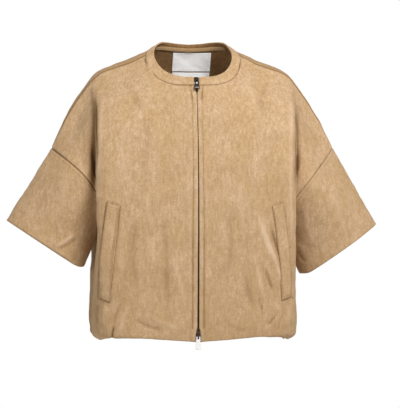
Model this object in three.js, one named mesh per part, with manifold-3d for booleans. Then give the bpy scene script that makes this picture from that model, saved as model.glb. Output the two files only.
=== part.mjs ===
import * as THREE from 'three';
import { mergeVertices } from 'three/addons/utils/BufferGeometryUtils.js';
import Module from 'manifold-3d';

// A collarless suede jacket with wide short sleeves, filled out as if worn but with no wearer.
// Millimetres, +Z up. The front faces -Y and the wearer's left is +X. The origin is the middle of
// the neck opening, level with the points where the shoulders meet the neck band.

// Cloth
const WALL = 2;
const SEAM_GAP = 0.3;
const NECK_SEAM_GAP = 0.8;
const LIFT = 0.3;
const TRIM_LIFT = 0.8;
const MERGE = 0.001;

// Levels down the centre front, as z
const NECK_FRONT_Z = -71;
const NECK_BACK_Z = 2;
const UNDERARM_Z = -338;
const HEM_Z = -549;

// Neck opening seen from above: two half ellipses that share their widest line
const SEAM_LOOP = { halfWidth: 90, middleY: -22, front: 64, back: 84 };
const RIM_LOOP = { halfWidth: 74, middleY: -16, front: 60, back: 78 };
const SHOULDER_DEG = 100;
const NECK_LEVELS = [
  { deg: 0, seamZ: NECK_FRONT_Z, rimZ: -56 },
  { deg: 35, seamZ: -67, rimZ: -51 },
  { deg: 55, seamZ: -55, rimZ: -40 },
  { deg: 72, seamZ: -38, rimZ: -26 },
  { deg: 88, seamZ: -19, rimZ: -12 },
  { deg: SHOULDER_DEG, seamZ: -11, rimZ: -2 },
  { deg: 118, seamZ: 2, rimZ: 11.5 },
  { deg: 132, seamZ: 4.5, rimZ: 16.8 },
  { deg: 145, seamZ: 5, rimZ: 17 },
  { deg: 160, seamZ: 3.5, rimZ: 15 },
  { deg: 180, seamZ: NECK_BACK_Z, rimZ: 13.3 },
];

// Shoulder line from the neck to the dropped end of the shoulder: the seam lies forward of the crest
const SHOULDER = [
  { x: 88.6, seamY: -7.4, seamZ: -11, crestY: 13, crestZ: -4 },
  { x: 120, seamY: -17, seamZ: -27, crestY: 6, crestZ: -17 },
  { x: 150, seamY: -20, seamZ: -38, crestY: 6, crestZ: -30 },
  { x: 180, seamY: -19, seamZ: -52, crestY: 6, crestZ: -43.5 },
  { x: 196, seamY: -17, seamZ: -68, crestY: 6, crestZ: -61 },
  { x: 214, seamY: -14, seamZ: -90, crestY: 5, crestZ: -84 },
  { x: 240, seamY: -10, seamZ: -131, crestY: 4, crestZ: -127 },
  { x: 268, seamY: -4, seamZ: -187, crestY: 1, crestZ: -183 },
];

// Armhole seams, from the dropped shoulder end down to the underarm. The wearer's left one hangs lower.
const ARMHOLES = {
  left: { start: [268, -187], swing: [234, -230], drop: [174, -284], end: [166, UNDERARM_Z] },
  right: { start: [268, -187], swing: [228, -222], drop: [168, -262], end: [166, UNDERARM_Z] },
};
const ARMHOLE_START_Y = -4;
const ARMHOLE_FRONT_REACH = 68;
const ARMHOLE_BACK_REACH = 74;

// Columns across each half panel: centre, chest, neck side, body fold, valley, sleeve front, edge
const COLUMN_U = [0, 0.22, 0.44, 0.64, 0.72, 0.84, 1];
const COLUMN_STEPS = [4, 4, 5, 2, 2, 3];
const NECK_U = COLUMN_U[2];
const FOLD_COLUMN = 3;
const FOLD_STATION = COLUMN_STEPS.slice(0, FOLD_COLUMN).reduce((sum, steps) => sum + steps, 0);
const TOP_X = { chest: 46, fold: 187, valley: 197, sleeve: 232 };
const UNDER_X = { chest: 70, panel: 132, fold: 185 };
const VALLEY_SHARE = 0.12;
const SLEEVE_SHARE = 0.5;

// How far each section of the front stands out from the shoulder plane, with drop from 0 at the
// neck seam to 1 at the underarm
const FRONT_SECTIONS = [
  { drop: 0.08, centre: 93, chest: 89, panel: 37, fold: 35, valley: 30, sleeve: 22, steps: 1 },
  { drop: 0.2, centre: 102, chest: 100, panel: 72, fold: 62, valley: 53, sleeve: 44, steps: 2 },
  { drop: 0.36, centre: 111, chest: 110, panel: 99, fold: 83, valley: 64, sleeve: 59, steps: 2 },
  { drop: 0.55, centre: 118, chest: 117, panel: 112, fold: 93, valley: 60, sleeve: 66, steps: 3 },
  { drop: 0.77, centre: 121, chest: 120, panel: 116, fold: 97, valley: 68, sleeve: 62, steps: 3 },
  { drop: 1, centre: 121, chest: 120, panel: 115, fold: 96, valley: 76, sleeve: 46, steps: 3 },
];
const BACK_SECTIONS = [
  { drop: 0.12, centre: 84, chest: 80, panel: 46, fold: 37, valley: 33, sleeve: 29, steps: 3 },
  { drop: 0.25, centre: 96, chest: 94, panel: 78, fold: 64, valley: 57, sleeve: 48, steps: 3 },
  { drop: 0.45, centre: 106, chest: 105, panel: 98, fold: 84, valley: 73, sleeve: 70, steps: 3 },
  { drop: 0.7, centre: 112, chest: 111, panel: 106, fold: 92, valley: 79, sleeve: 75, steps: 3 },
  { drop: 1, centre: 114, chest: 113, panel: 108, fold: 90, valley: 76, sleeve: 52, steps: 3 },
];
const CREST = { drop: 0.03, centre: 70, chest: 58, steps: 1 };

// Sections below the underarm, shared by front and back: the side seam, the rounded side and the
// stand of each part. The last three turn the hem under at the sides and across the back.
const LOWER_SECTIONS = [
  { z: -405, sideX: 181, sideZ: -405, bulge: 187, front: 120, back: 114, corner: 87, foldX: 185, steps: 3 },
  { z: -470, sideX: 187, sideZ: -470, bulge: 190, front: 117, back: 114, corner: 82, foldX: 184, steps: 2 },
  { z: -526, sideX: 188, sideZ: -525, bulge: 191, front: 114, back: 110, corner: 79, foldX: 184, steps: 2 },
  { z: -541, sideX: 185, sideZ: -540, bulge: 188, front: 112, back: 103, corner: 75, foldX: 181, steps: 2 },
  { z: HEM_Z, sideX: 173, sideZ: -547, bulge: 177, front: 111, back: 90, corner: 67, foldX: 173, steps: 2 },
];
const HEM_CHEST_LIFT = 5;
const HEM_PANEL_LIFT = 10;
const HEM_FOLD_LIFT = 5;

// Sleeve: a wide tube, lens-shaped at the cuff
const CUFFS = {
  left: { outer: [353, -331], inner: [208, -432] },
  right: { outer: [350, -324], inner: [207, -418] },
};
const CUFF_HALF_DEPTH = 47;
const CUFF_TIP_POWER = 1.3;
const CUFF_FOLD_POWER = 0.9;
const CUFF_CORNER = { from: 0.88, lift: 8 };
const SLEEVE_AIM = new THREE.Vector3(0.5, 0, -0.866);
const UNDERARM_AIM = new THREE.Vector3(0.72, 0, -0.69);
const SLEEVE_RINGS = 12;

// Front edges: half the gap between them, which the two zip sliders spread
const EDGE_GAP = { slider: 4.7, top: 1.2, bottom: 2.6 };
const EDGE_GAP_TOP_Z = -90;
const EDGE_GAP_BOTTOM_Z = -526;

// Zip
const CHAIN = { halfWidth: 2.6, thickness: 2.2, topZ: -63.5, bottomZ: -531.5 };
const TAPE = { inner: 2.95, endShare: 0.2, wall: 1 };
const SLIDER = { halfWidth: 4.2, halfLength: 5.8, back: -1, front: 2.8 };
const ARCH = { halfWidth: 1.1, up: -4, down: 4, clearance: 3, strap: 1 };
const PULL = {
  bar: 0.8, barAlong: 1, barUp: 4.3, headHalf: 3.7, tailHalf: 5.5, window: 1.5, windowEnd: 6.2,
  flareShare: 0.42,
};
const ZIP_ENDS = [
  { name: 'top', z: -61.5, length: 21, colour: 0x4a4a4c },
  { name: 'bottom', z: -538, length: 24, colour: 0xe6e3de },
];

// Slanted pocket welts, corners in front view as distance from the zip and level
const WELTS = {
  left: {
    top: { inner: [138, -296], outer: [159, -291] },
    bottom: { inner: [157, -472], outer: [175, -466] },
  },
  right: {
    top: { inner: [146, -296], outer: [168, -290] },
    bottom: { inner: [162, -475], outer: [180, -467] },
  },
};
const WELT = { steps: 12, across: 4, bow: 4, wall: 1.5 };

// Inside of the back neck
const NECK_TAPE = { fromDeg: 129, onBand: 0.35, onBack: 1.5, steps: 12, wall: 1 };
const MAIN_LABEL = { halfWidth: 36.5, middleX: 6, topZ: -2.2, bottomZ: -36.5, wall: 1 };
const SIZE_LABEL = { halfWidth: 36, middleX: 6, topZ: -39, bottomZ: -60, wall: 1 };
const LABEL_STEPS = 6;

// Elastic casing inside the turned hem, from one front corner round the back to the other
const CASING = { height: 26, inset: 0.9, waves: 48, waveDepth: 1.4, stepsPerWave: 4, wall: 1.6, outward: -1 };

const SUEDE = 0xbd9a6d;
const MATERIALS = {
  suede: { color: SUEDE, roughness: 0.95, metalness: 0 },
  tape: { color: 0xa98a60, roughness: 0.9, metalness: 0 },
  label: { color: 0xe9e7e4, roughness: 0.6, metalness: 0 },
  zipTape: { color: 0x8f7450, roughness: 0.9, metalness: 0 },
  chain: { color: 0x3a3733, roughness: 0.4, metalness: 1 },
  slider: { color: 0x4a4a4c, roughness: 0.35, metalness: 1 },
};

const radians = (degrees) => (degrees * Math.PI) / 180;
const mix = (a, b, share) => a + (b - a) * share;
const vector = (x, y, z) => new THREE.Vector3(x, y, z);

// Smooth curve through values at uneven knots
function slopeAt(knots, values, i) {
  const last = knots.length - 1;
  const rise = (a) => (values[a + 1] - values[a]) / (knots[a + 1] - knots[a]);
  if (i === 0) return rise(0);
  if (i === last) return rise(last - 1);
  const before = knots[i] - knots[i - 1];
  const after = knots[i + 1] - knots[i];
  return (rise(i) * before + rise(i - 1) * after) / (before + after);
}

function smooth(knots, values, at) {
  let i = 0;
  while (i < knots.length - 2 && at > knots[i + 1]) i += 1;
  const span = knots[i + 1] - knots[i];
  const t = (at - knots[i]) / span;
  const a = slopeAt(knots, values, i) * span;
  const b = slopeAt(knots, values, i + 1) * span;
  const t2 = t * t;
  const t3 = t2 * t;
  return (2 * t3 - 3 * t2 + 1) * values[i] + (t3 - 2 * t2 + t) * a
    + (3 * t2 - 2 * t3) * values[i + 1] + (t3 - t2) * b;
}

function smoothPoint(knots, points, at) {
  const along = (axis) => smooth(knots, points.map((p) => p[axis]), at);
  return vector(along('x'), along('y'), along('z'));
}

// Neck loop, 0 degrees at the centre front and 180 at the centre back, on the wearer's left
function neckPoint(loop, levelName, degrees) {
  const angle = radians(degrees);
  const reach = degrees < 90 ? loop.front : loop.back;
  const z = smooth(NECK_LEVELS.map((n) => n.deg), NECK_LEVELS.map((n) => n[levelName]), degrees);
  return vector(loop.halfWidth * Math.sin(angle), loop.middleY - reach * Math.cos(angle), z);
}
const seamPoint = (degrees) => neckPoint(SEAM_LOOP, 'seamZ', degrees);
const rimPoint = (degrees) => neckPoint(RIM_LOOP, 'rimZ', degrees);

function shoulderPoint(x, yName, zName) {
  const knots = SHOULDER.map((s) => s.x);
  const value = (name) => smooth(knots, SHOULDER.map((s) => s[name]), x);
  return vector(x, value(yName), value(zName));
}
const shoulderSeam = (x) => shoulderPoint(x, 'seamY', 'seamZ');
const shoulderCrest = (x) => shoulderPoint(x, 'crestY', 'crestZ');

function armholePoint({ start, swing, drop, end }, t, reach) {
  const s = 1 - t;
  const weights = [s * s * s, 3 * s * s * t, 3 * s * t * t, t * t * t];
  const stops = [start, swing, drop, end];
  const sum = (axis) => stops.reduce((total, stop, i) => total + weights[i] * stop[axis], 0);
  return vector(sum(0), ARMHOLE_START_Y * s + reach * Math.sin(Math.PI * t), sum(1));
}

// One half panel, drawn on the wearer's left, as rows of seven points worked out from the section tables
function panelRows(side, armhole) {
  const front = side < 0;
  const neckZ = front ? NECK_FRONT_Z : NECK_BACK_Z;
  const reach = side * (front ? ARMHOLE_FRONT_REACH : ARMHOLE_BACK_REACH);
  const depthOf = (section) => (front ? section.front : section.back);
  const first = front ? seamPoint(0) : seamPoint(180);
  const chestDeg = front ? (SHOULDER_DEG / 2) * 0.66 : 180 - (180 - SHOULDER_DEG) * 0.4;
  const top = [
    first, seamPoint(chestDeg), seamPoint(SHOULDER_DEG), shoulderSeam(TOP_X.fold),
    shoulderSeam(TOP_X.valley), shoulderSeam(TOP_X.sleeve), armholePoint(armhole, 0, reach),
  ];
  const rows = [{ at: -neckZ, steps: 0, points: top }];
  let guide = top;
  let guideDrop = 0;
  if (!front) {
    const level = (x, y, z) => vector(x, y, z + (UNDERARM_Z - z) * CREST.drop);
    guide = [
      level(0, CREST.centre, neckZ), level(TOP_X.chest, CREST.chest, seamPoint(chestDeg).z),
      shoulderCrest(SHOULDER[0].x + 3), shoulderCrest(TOP_X.fold), shoulderCrest(TOP_X.valley),
      shoulderCrest(TOP_X.sleeve), armholePoint(armhole, CREST.drop, reach),
    ];
    guideDrop = CREST.drop;
    rows.push({ at: mix(-neckZ, -UNDERARM_Z, CREST.drop), steps: CREST.steps, points: guide });
  }
  const underX = [0, UNDER_X.chest, UNDER_X.panel, UNDER_X.fold];
  for (const section of front ? FRONT_SECTIONS : BACK_SECTIONS) {
    const share = (section.drop - guideDrop) / (1 - guideDrop);
    const stands = [section.centre, section.chest, section.panel, section.fold];
    const points = stands.map((stand, i) => vector(
      mix(guide[i].x, underX[i], share), side * stand, mix(guide[i].z, UNDERARM_Z, share)));
    const fold = points[FOLD_COLUMN];
    const edge = armholePoint(armhole, section.drop, reach);
    points.push(vector(mix(fold.x, edge.x, VALLEY_SHARE), side * section.valley,
      mix(fold.z, edge.z, VALLEY_SHARE)));
    points.push(vector(mix(fold.x, edge.x, SLEEVE_SHARE), side * section.sleeve,
      mix(fold.z, edge.z, SLEEVE_SHARE)));
    points.push(edge);
    rows.push({ at: mix(-neckZ, -UNDERARM_Z, section.drop), steps: section.steps, points });
  }
  for (const section of LOWER_SECTIONS) {
    const hem = section.z === HEM_Z && front;
    const depth = depthOf(section);
    const corner = section.corner - (front ? 0 : 4);
    const sideLift = section.sideZ - section.z;
    const points = [
      vector(0, side * depth, front ? section.z : mix(section.z, section.sideZ, 0.8)),
      vector(UNDER_X.chest, side * (depth - 1), section.z + (hem ? HEM_CHEST_LIFT : sideLift)),
      vector(UNDER_X.panel, side * mix(depth, corner, 0.2), section.z + (hem ? HEM_PANEL_LIFT : sideLift)),
      vector(section.foldX, side * corner, section.z + (hem ? HEM_FOLD_LIFT : sideLift)),
      vector(section.bulge, side * corner * 0.66, section.sideZ),
      vector(mix(section.bulge, section.sideX, 0.55), side * corner * 0.32, section.sideZ),
      vector(section.sideX, 0, section.sideZ),
    ];
    rows.push({ at: -section.z, steps: section.steps, points });
  }
  return rows;
}

// The side edge of a panel: the armhole seam, then the side seam that front and back share
function edgePoint(side, armhole, at) {
  const neckZ = side < 0 ? NECK_FRONT_Z : NECK_BACK_Z;
  const reach = side * (side < 0 ? ARMHOLE_FRONT_REACH : ARMHOLE_BACK_REACH);
  if (at <= -UNDERARM_Z) return armholePoint(armhole, (at + neckZ) / (neckZ - UNDERARM_Z), reach);
  const knots = [-UNDERARM_Z, ...LOWER_SECTIONS.map((s) => -s.z)];
  const points = [armholePoint(armhole, 1, 0), ...LOWER_SECTIONS.map((s) => vector(s.sideX, 0, s.sideZ))];
  return smoothPoint(knots, points, at);
}

// The top edge of a panel: the neck seam, a corner, then the shoulder seam
function topPoint(side, u) {
  if (u <= NECK_U) {
    const start = side < 0 ? 0 : 180;
    return seamPoint(mix(start, SHOULDER_DEG, u / NECK_U));
  }
  const knots = COLUMN_U.slice(2);
  const across = [SHOULDER[0].x, TOP_X.fold, TOP_X.valley, TOP_X.sleeve, SHOULDER[SHOULDER.length - 1].x];
  return shoulderSeam(smooth(knots, across, u));
}

const EDGE_FADE_U = COLUMN_U[5];
const TOP_FADE = 60;

// A point of the half panel: u across from the centre to the edge, at down from the neck to the hem
function makePanel(side, armhole) {
  const rows = panelRows(side, armhole);
  const knots = rows.map((row) => row.at);
  const plain = (u, at) => {
    const section = COLUMN_U.map((_, i) => smoothPoint(knots, rows.map((row) => row.points[i]), at));
    return smoothPoint(COLUMN_U, section, u);
  };
  const point = (u, at) => {
    const p = plain(u, at);
    const topShare = Math.max(0, 1 - (at - knots[0]) / TOP_FADE) ** 2;
    if (topShare > 0) p.addScaledVector(topPoint(side, u).sub(plain(u, knots[0])), topShare);
    const edgeShare = Math.max(0, (u - EDGE_FADE_U) / (1 - EDGE_FADE_U)) ** 2;
    if (edgeShare > 0) {
      const settled = plain(1, at);
      if (topShare > 0) settled.addScaledVector(topPoint(side, 1).sub(plain(1, knots[0])), topShare);
      p.addScaledVector(edgePoint(side, armhole, at).sub(settled), edgeShare);
    }
    return p;
  };
  const downs = [knots[0]];
  rows.slice(1).forEach((row, i) => {
    for (let k = 1; k <= row.steps; k += 1) downs.push(mix(knots[i], row.at, k / row.steps));
  });
  return { side, point, downs, topAt: knots[0] };
}

function columnStations() {
  const stations = [0];
  COLUMN_STEPS.forEach((steps, i) => {
    for (let k = 1; k <= steps; k += 1) stations.push(mix(COLUMN_U[i], COLUMN_U[i + 1], k / steps));
  });
  return stations;
}

const STATIONS = columnStations();
const FRONT = { left: makePanel(-1, ARMHOLES.left), right: makePanel(-1, ARMHOLES.right) };
const BACK = { left: makePanel(1, ARMHOLES.left), right: makePanel(1, ARMHOLES.right) };

// Half the gap between the front edges at a level
function edgeGap(z) {
  if (z > NECK_FRONT_Z) return EDGE_GAP.slider;
  if (z > EDGE_GAP_TOP_Z) {
    const share = (z - EDGE_GAP_TOP_Z) / (NECK_FRONT_Z - EDGE_GAP_TOP_Z);
    return mix(EDGE_GAP.top, EDGE_GAP.slider, share);
  }
  if (z > EDGE_GAP_BOTTOM_Z) {
    const share = (EDGE_GAP_TOP_Z - z) / (EDGE_GAP_TOP_Z - EDGE_GAP_BOTTOM_Z);
    return mix(EDGE_GAP.top, EDGE_GAP.bottom, share);
  }
  return EDGE_GAP.slider;
}

function frontGrid(panel) {
  return panel.downs.map((at) => STATIONS.map((u) => {
    const p = panel.point(u, at);
    if (u === 0) p.x = edgeGap(p.z);
    return p;
  }));
}

const halfBackGrid = (panel) => panel.downs.map((at) => STATIONS.map((u) => panel.point(u, at)));

function mirrored(p) {
  return vector(-p.x, p.y, p.z);
}

// Sleeve rings run from the dropped shoulder end down the front to the underarm and up the back
function sleeveGrid(front, back, cuff) {
  const edgeOf = (grid, panel) => grid.filter((_, i) => panel.downs[i] <= -UNDERARM_Z + 1e-6)
    .map((row) => row[row.length - 1]);
  const frontEdge = edgeOf(front, FRONT.left);
  const backEdge = edgeOf(back, BACK.left);
  const ring = [];
  frontEdge.forEach((p, i) => ring.push({ p, turn: i / (frontEdge.length - 1), side: -1 }));
  backEdge.slice(1, -1).reverse().forEach((p, i) => {
    ring.push({ p, turn: 1 - (i + 1) / (backEdge.length - 1), side: 1 });
  });
  const rows = [];
  for (let k = 0; k <= SLEEVE_RINGS; k += 1) {
    const along = k / SLEEVE_RINGS;
    rows.push(ring.map(({ p, turn, side }) => sleevePoint(p, cuffPoint(cuff, turn, side), turn, along)));
  }
  return rows;
}

function cuffPoint({ outer, inner }, turn, side) {
  const across = (1 - Math.cos(Math.PI * turn)) / 2;
  const power = mix(CUFF_TIP_POWER, CUFF_FOLD_POWER, across);
  const depth = CUFF_HALF_DEPTH * Math.sin(Math.PI * turn) ** power;
  const lift = CUFF_CORNER.lift * Math.max(0, (across - CUFF_CORNER.from) / (1 - CUFF_CORNER.from)) ** 2;
  return vector(mix(outer[0], inner[0], across), side * depth, mix(outer[1], inner[1], across) + lift);
}

function sleevePoint(start, end, turn, along) {
  const length = start.distanceTo(end);
  const leaving = SLEEVE_AIM.clone().lerp(UNDERARM_AIM, turn).multiplyScalar(length);
  const arriving = SLEEVE_AIM.clone().multiplyScalar(length);
  const t2 = along * along;
  const t3 = t2 * along;
  return start.clone().multiplyScalar(2 * t3 - 3 * t2 + 1)
    .addScaledVector(leaving, t3 - 2 * t2 + along)
    .addScaledVector(end, 3 * t2 - 2 * t3)
    .addScaledVector(arriving, t3 - t2);
}

// The neck band runs from one front edge round the back to the other
const BAND_ROWS = 2;
function bandDegrees() {
  const neckStations = STATIONS.filter((u) => u <= NECK_U + 1e-9);
  const front = neckStations.map((u) => mix(0, SHOULDER_DEG, u / NECK_U));
  const back = neckStations.map((u) => mix(180, SHOULDER_DEG, u / NECK_U)).reverse().slice(1);
  return [...front, ...back];
}

function bandGrid() {
  const half = bandDegrees();
  const rows = [];
  for (let i = 0; i <= BAND_ROWS; i += 1) {
    const left = half.map((deg) => seamPoint(deg).lerp(rimPoint(deg), i / BAND_ROWS));
    left[0].x = EDGE_GAP.slider;
    rows.push([...left, ...left.slice(0, -1).reverse().map(mirrored)]);
  }
  return rows;
}

// Face normals are gathered at shared points, so that pieces which meet at a seam share a direction
const keyOf = (p) => `${Math.round(p.x * 100)},${Math.round(p.y * 100)},${Math.round(p.z * 100)}`;

function gatherNormals(pieces) {
  const normals = new Map();
  const add = (p, n) => {
    const key = keyOf(p);
    if (!normals.has(key)) normals.set(key, vector(0, 0, 0));
    normals.get(key).add(n);
  };
  for (const { grid, outward, closed } of pieces) {
    const columns = grid[0].length;
    for (let i = 0; i < grid.length - 1; i += 1) {
      for (let j = 0; j < (closed ? columns : columns - 1); j += 1) {
        const next = (j + 1) % columns;
        const corners = [grid[i][j], grid[i][next], grid[i + 1][next], grid[i + 1][j]];
        const n = corners[2].clone().sub(corners[0]).cross(corners[3].clone().sub(corners[1]));
        n.multiplyScalar(outward);
        corners.forEach((p) => add(p, n));
      }
    }
  }
  return (p) => normals.get(keyOf(p)).clone().normalize();
}

// A closed wall on both sides of a grid of points
function wallMesh(grid, normalOf, { closed = false, inner = WALL / 2, outer = WALL / 2 } = {}) {
  const rows = grid.length;
  const columns = grid[0].length;
  const positions = [];
  for (const offset of [outer, -inner]) {
    for (const row of grid) {
      for (const p of row) {
        const q = p.at.clone().addScaledVector(normalOf(p), offset);
        positions.push(q.x, q.y, q.z);
      }
    }
  }
  const index = (layer, i, j) => layer * rows * columns + i * columns + (j % columns);
  const faces = [];
  const gap = (a, b) => Math.hypot(...[0, 1, 2].map((axis) => positions[3 * a + axis] - positions[3 * b + axis]));
  const quad = (a, b, c, d) => {
    if (gap(a, c) < gap(b, d)) faces.push(a, b, c, a, c, d);
    else faces.push(a, b, d, b, c, d);
  };
  const lastColumn = closed ? columns : columns - 1;
  for (let i = 0; i < rows - 1; i += 1) {
    for (let j = 0; j < lastColumn; j += 1) {
      quad(index(0, i, j), index(0, i + 1, j), index(0, i + 1, j + 1), index(0, i, j + 1));
      quad(index(1, i, j), index(1, i, j + 1), index(1, i + 1, j + 1), index(1, i + 1, j));
    }
    if (!closed) {
      quad(index(0, i, 0), index(1, i, 0), index(1, i + 1, 0), index(0, i + 1, 0));
      quad(index(0, i + 1, lastColumn), index(1, i + 1, lastColumn), index(1, i, lastColumn),
        index(0, i, lastColumn));
    }
  }
  for (let j = 0; j < lastColumn; j += 1) {
    quad(index(0, 0, j + 1), index(1, 0, j + 1), index(1, 0, j), index(0, 0, j));
    quad(index(0, rows - 1, j), index(1, rows - 1, j), index(1, rows - 1, j + 1), index(0, rows - 1, j + 1));
  }
  const geometry = new THREE.BufferGeometry();
  geometry.setAttribute('position', new THREE.Float32BufferAttribute(positions, 3));
  geometry.setIndex(faces);
  return facingOut(geometry);
}

function facingOut(geometry) {
  const p = geometry.attributes.position;
  const index = geometry.index.array;
  const corner = [vector(0, 0, 0), vector(0, 0, 0), vector(0, 0, 0)];
  let volume = 0;
  for (let k = 0; k < index.length; k += 3) {
    corner.forEach((c, i) => c.fromBufferAttribute(p, index[k + i]));
    volume += corner[0].dot(corner[1].clone().cross(corner[2]));
  }
  if (volume < 0) {
    for (let k = 0; k < index.length; k += 3) [index[k], index[k + 1]] = [index[k + 1], index[k]];
  }
  geometry.computeVertexNormals();
  return geometry;
}

// Grid points drawn back from their seams by half the gap, each with its shared normal
function drawnBack(grid, normalOf, closed = false, gap = SEAM_GAP) {
  const rows = grid.length;
  const columns = grid[0].length;
  const back = gap / 2;
  return grid.map((row, i) => row.map((p, j) => {
    const at = p.clone();
    const pull = (q) => at.addScaledVector(q.clone().sub(p).normalize(), back);
    if (i === 0) pull(grid[1][j]);
    if (i === rows - 1) pull(grid[rows - 2][j]);
    if (!closed && j === 0) pull(grid[i][1]);
    if (!closed && j === columns - 1) pull(grid[i][columns - 2]);
    return { at, normal: normalOf(p) };
  }));
}
const storedNormal = (p) => p.normal;

const group = new THREE.Group();
function addPiece(name, geometry, material) {
  const mesh = new THREE.Mesh(geometry, new THREE.MeshStandardMaterial(material));
  mesh.name = name;
  group.add(mesh);
  return mesh;
}

const mirroredGrid = (grid) => grid.map((row) => row.map(mirrored));

// Both halves as drawn on the wearer's left, the right ones before they are mirrored
const frontHalves = { left: frontGrid(FRONT.left), right: frontGrid(FRONT.right) };
const backHalves = { left: halfBackGrid(BACK.left), right: halfBackGrid(BACK.right) };
const frontLeft = frontHalves.left;
const back = backHalves.left.map((row, i) => [
  ...backHalves.right[i].slice(1).reverse().map(mirrored), ...row,
]);
const band = bandGrid();

function addShell() {
  const pieces = [
    { name: 'front_left', grid: frontLeft, outward: -1 },
    { name: 'front_right', grid: mirroredGrid(frontHalves.right), outward: 1 },
    { name: 'back', grid: back, outward: 1 },
    { name: 'neck_band', grid: band, outward: 1, gap: NECK_SEAM_GAP },
    {
      name: 'sleeve_left', outward: 1, closed: true,
      grid: sleeveGrid(frontHalves.left, backHalves.left, CUFFS.left),
    },
    {
      name: 'sleeve_right', outward: -1, closed: true,
      grid: mirroredGrid(sleeveGrid(frontHalves.right, backHalves.right, CUFFS.right)),
    },
  ];
  const normalOf = gatherNormals(pieces);
  for (const { name, grid, closed, gap } of pieces) {
    const points = drawnBack(grid, normalOf, closed, gap);
    addPiece(name, wallMesh(points, storedNormal, { closed }), MATERIALS.suede);
  }
}

// A piece that lies on the shell: a grid of the shell's points, moved out of it or into it
function addOnShell(name, grid, outward, { from, wall }, material) {
  const normalOf = gatherNormals([{ grid, outward }]);
  const points = grid.map((row) => row.map((p) => ({ at: p, normal: normalOf(p) })));
  const [outer, inner] = from > 0 ? [from + wall, -from] : [from, wall - from];
  addPiece(name, wallMesh(points, storedNormal, { inner, outer }), material);
}

// The place on a panel that shows at x and z in front view
function findOn(panel, x, z) {
  const stepU = 0.002;
  const stepAt = 0.5;
  let u = (x / TOP_X.fold) * COLUMN_U[FOLD_COLUMN];
  let at = Math.max(-z, panel.topAt + stepAt);
  for (let round = 0; round < 14; round += 1) {
    const p = panel.point(u, at);
    const pu = panel.point(u + stepU, at).sub(p).divideScalar(stepU);
    const pa = panel.point(u, at + stepAt).sub(p).divideScalar(stepAt);
    const determinant = pu.x * pa.z - pa.x * pu.z;
    u += ((x - p.x) * pa.z - (z - p.z) * pa.x) / determinant;
    at += ((z - p.z) * pu.x - (x - p.x) * pu.z) / determinant;
    u = Math.min(Math.max(u, 0), 1);
    at = Math.max(at, panel.topAt);
  }
  return panel.point(u, at);
}

function weltGrid(panel, { top, bottom }) {
  const { steps, across, bow } = WELT;
  const grid = [];
  for (let i = 0; i <= steps; i += 1) {
    const share = i / steps;
    const swing = bow * Math.sin(Math.PI * share);
    const row = [];
    for (let j = 0; j <= across; j += 1) {
      const start = top.inner.map((value, axis) => mix(value, top.outer[axis], j / across));
      const end = bottom.inner.map((value, axis) => mix(value, bottom.outer[axis], j / across));
      row.push(findOn(panel, mix(start[0], end[0], share) + swing, mix(start[1], end[1], share)));
    }
    grid.push(row);
  }
  return grid;
}

function addWelts() {
  const stand = { from: WALL / 2 + LIFT, wall: WELT.wall };
  addOnShell('pocket_welt_left', weltGrid(FRONT.left, WELTS.left), -1, stand, MATERIALS.suede);
  addOnShell('pocket_welt_right', mirroredGrid(weltGrid(FRONT.right, WELTS.right)), 1, stand, MATERIALS.suede);
}

// Both zip tapes lie behind the front edges, and the closed chain runs between them
function addZipTapes() {
  const edge = frontLeft.map((row) => [vector(TAPE.inner, row[0].y, row[0].z), row[1].clone()]);
  edge[0].forEach((p, j) => p.lerp(edge[1][j], TAPE.endShare));
  const last = edge.length - 1;
  edge[last].forEach((p, j) => p.lerp(edge[last - 1][j], TAPE.endShare));
  const stand = { from: -(WALL / 2 + LIFT), wall: TAPE.wall };
  addOnShell('zip_tape_left', edge, -1, stand, MATERIALS.zipTape);
  addOnShell('zip_tape_right', mirroredGrid(edge), 1, stand, MATERIALS.zipTape);
}

// Points down the middle of the closed front, from the rim of the band to the hem
const centreLine = [rimPoint(0), ...frontLeft.map((row) => vector(0, row[0].y, row[0].z))];

function centreAt(z) {
  const i = centreLine.findIndex((p, k) => k > 0 && p.z <= z);
  const [above, below] = [centreLine[i - 1], centreLine[i]];
  const at = above.clone().lerp(below, (above.z - z) / (above.z - below.z));
  return { at, down: below.clone().sub(above).normalize() };
}

function addChain() {
  const levels = [CHAIN.topZ, ...centreLine.map((p) => p.z), CHAIN.bottomZ]
    .filter((z) => z <= CHAIN.topZ && z >= CHAIN.bottomZ).sort((a, b) => b - a);
  const grid = levels.map((z) => [-1, 1].map((side) => {
    const p = centreAt(z).at;
    p.x = side * CHAIN.halfWidth;
    return p;
  }));
  addOnShell('zip_chain', grid, -1, { from: -(WALL / 2 + LIFT), wall: CHAIN.thickness }, MATERIALS.chain);
}

function boxAt([x0, x1], [y0, y1], [z0, z1]) {
  const box = new THREE.BoxGeometry(x1 - x0, y1 - y0, z1 - z0);
  return box.translate((x0 + x1) / 2, (y0 + y1) / 2, (z0 + z1) / 2);
}

const wasm = await Module();
wasm.setup();

function toSolid(geometry) {
  const bare = geometry.clone();
  bare.deleteAttribute('normal');
  bare.deleteAttribute('uv');
  const merged = mergeVertices(bare, MERGE);
  return new wasm.Manifold(new wasm.Mesh({
    numProp: 3,
    vertProperties: new Float32Array(merged.attributes.position.array),
    triVerts: new Uint32Array(merged.index.array),
  }));
}

function joined(geometries) {
  const mesh = geometries.map(toSolid).reduce((sum, solid) => sum.add(solid)).getMesh();
  const geometry = new THREE.BufferGeometry();
  geometry.setAttribute('position', new THREE.BufferAttribute(mesh.vertProperties, 3));
  geometry.setIndex(new THREE.BufferAttribute(mesh.triVerts, 1));
  geometry.computeVertexNormals();
  return geometry;
}

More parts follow.
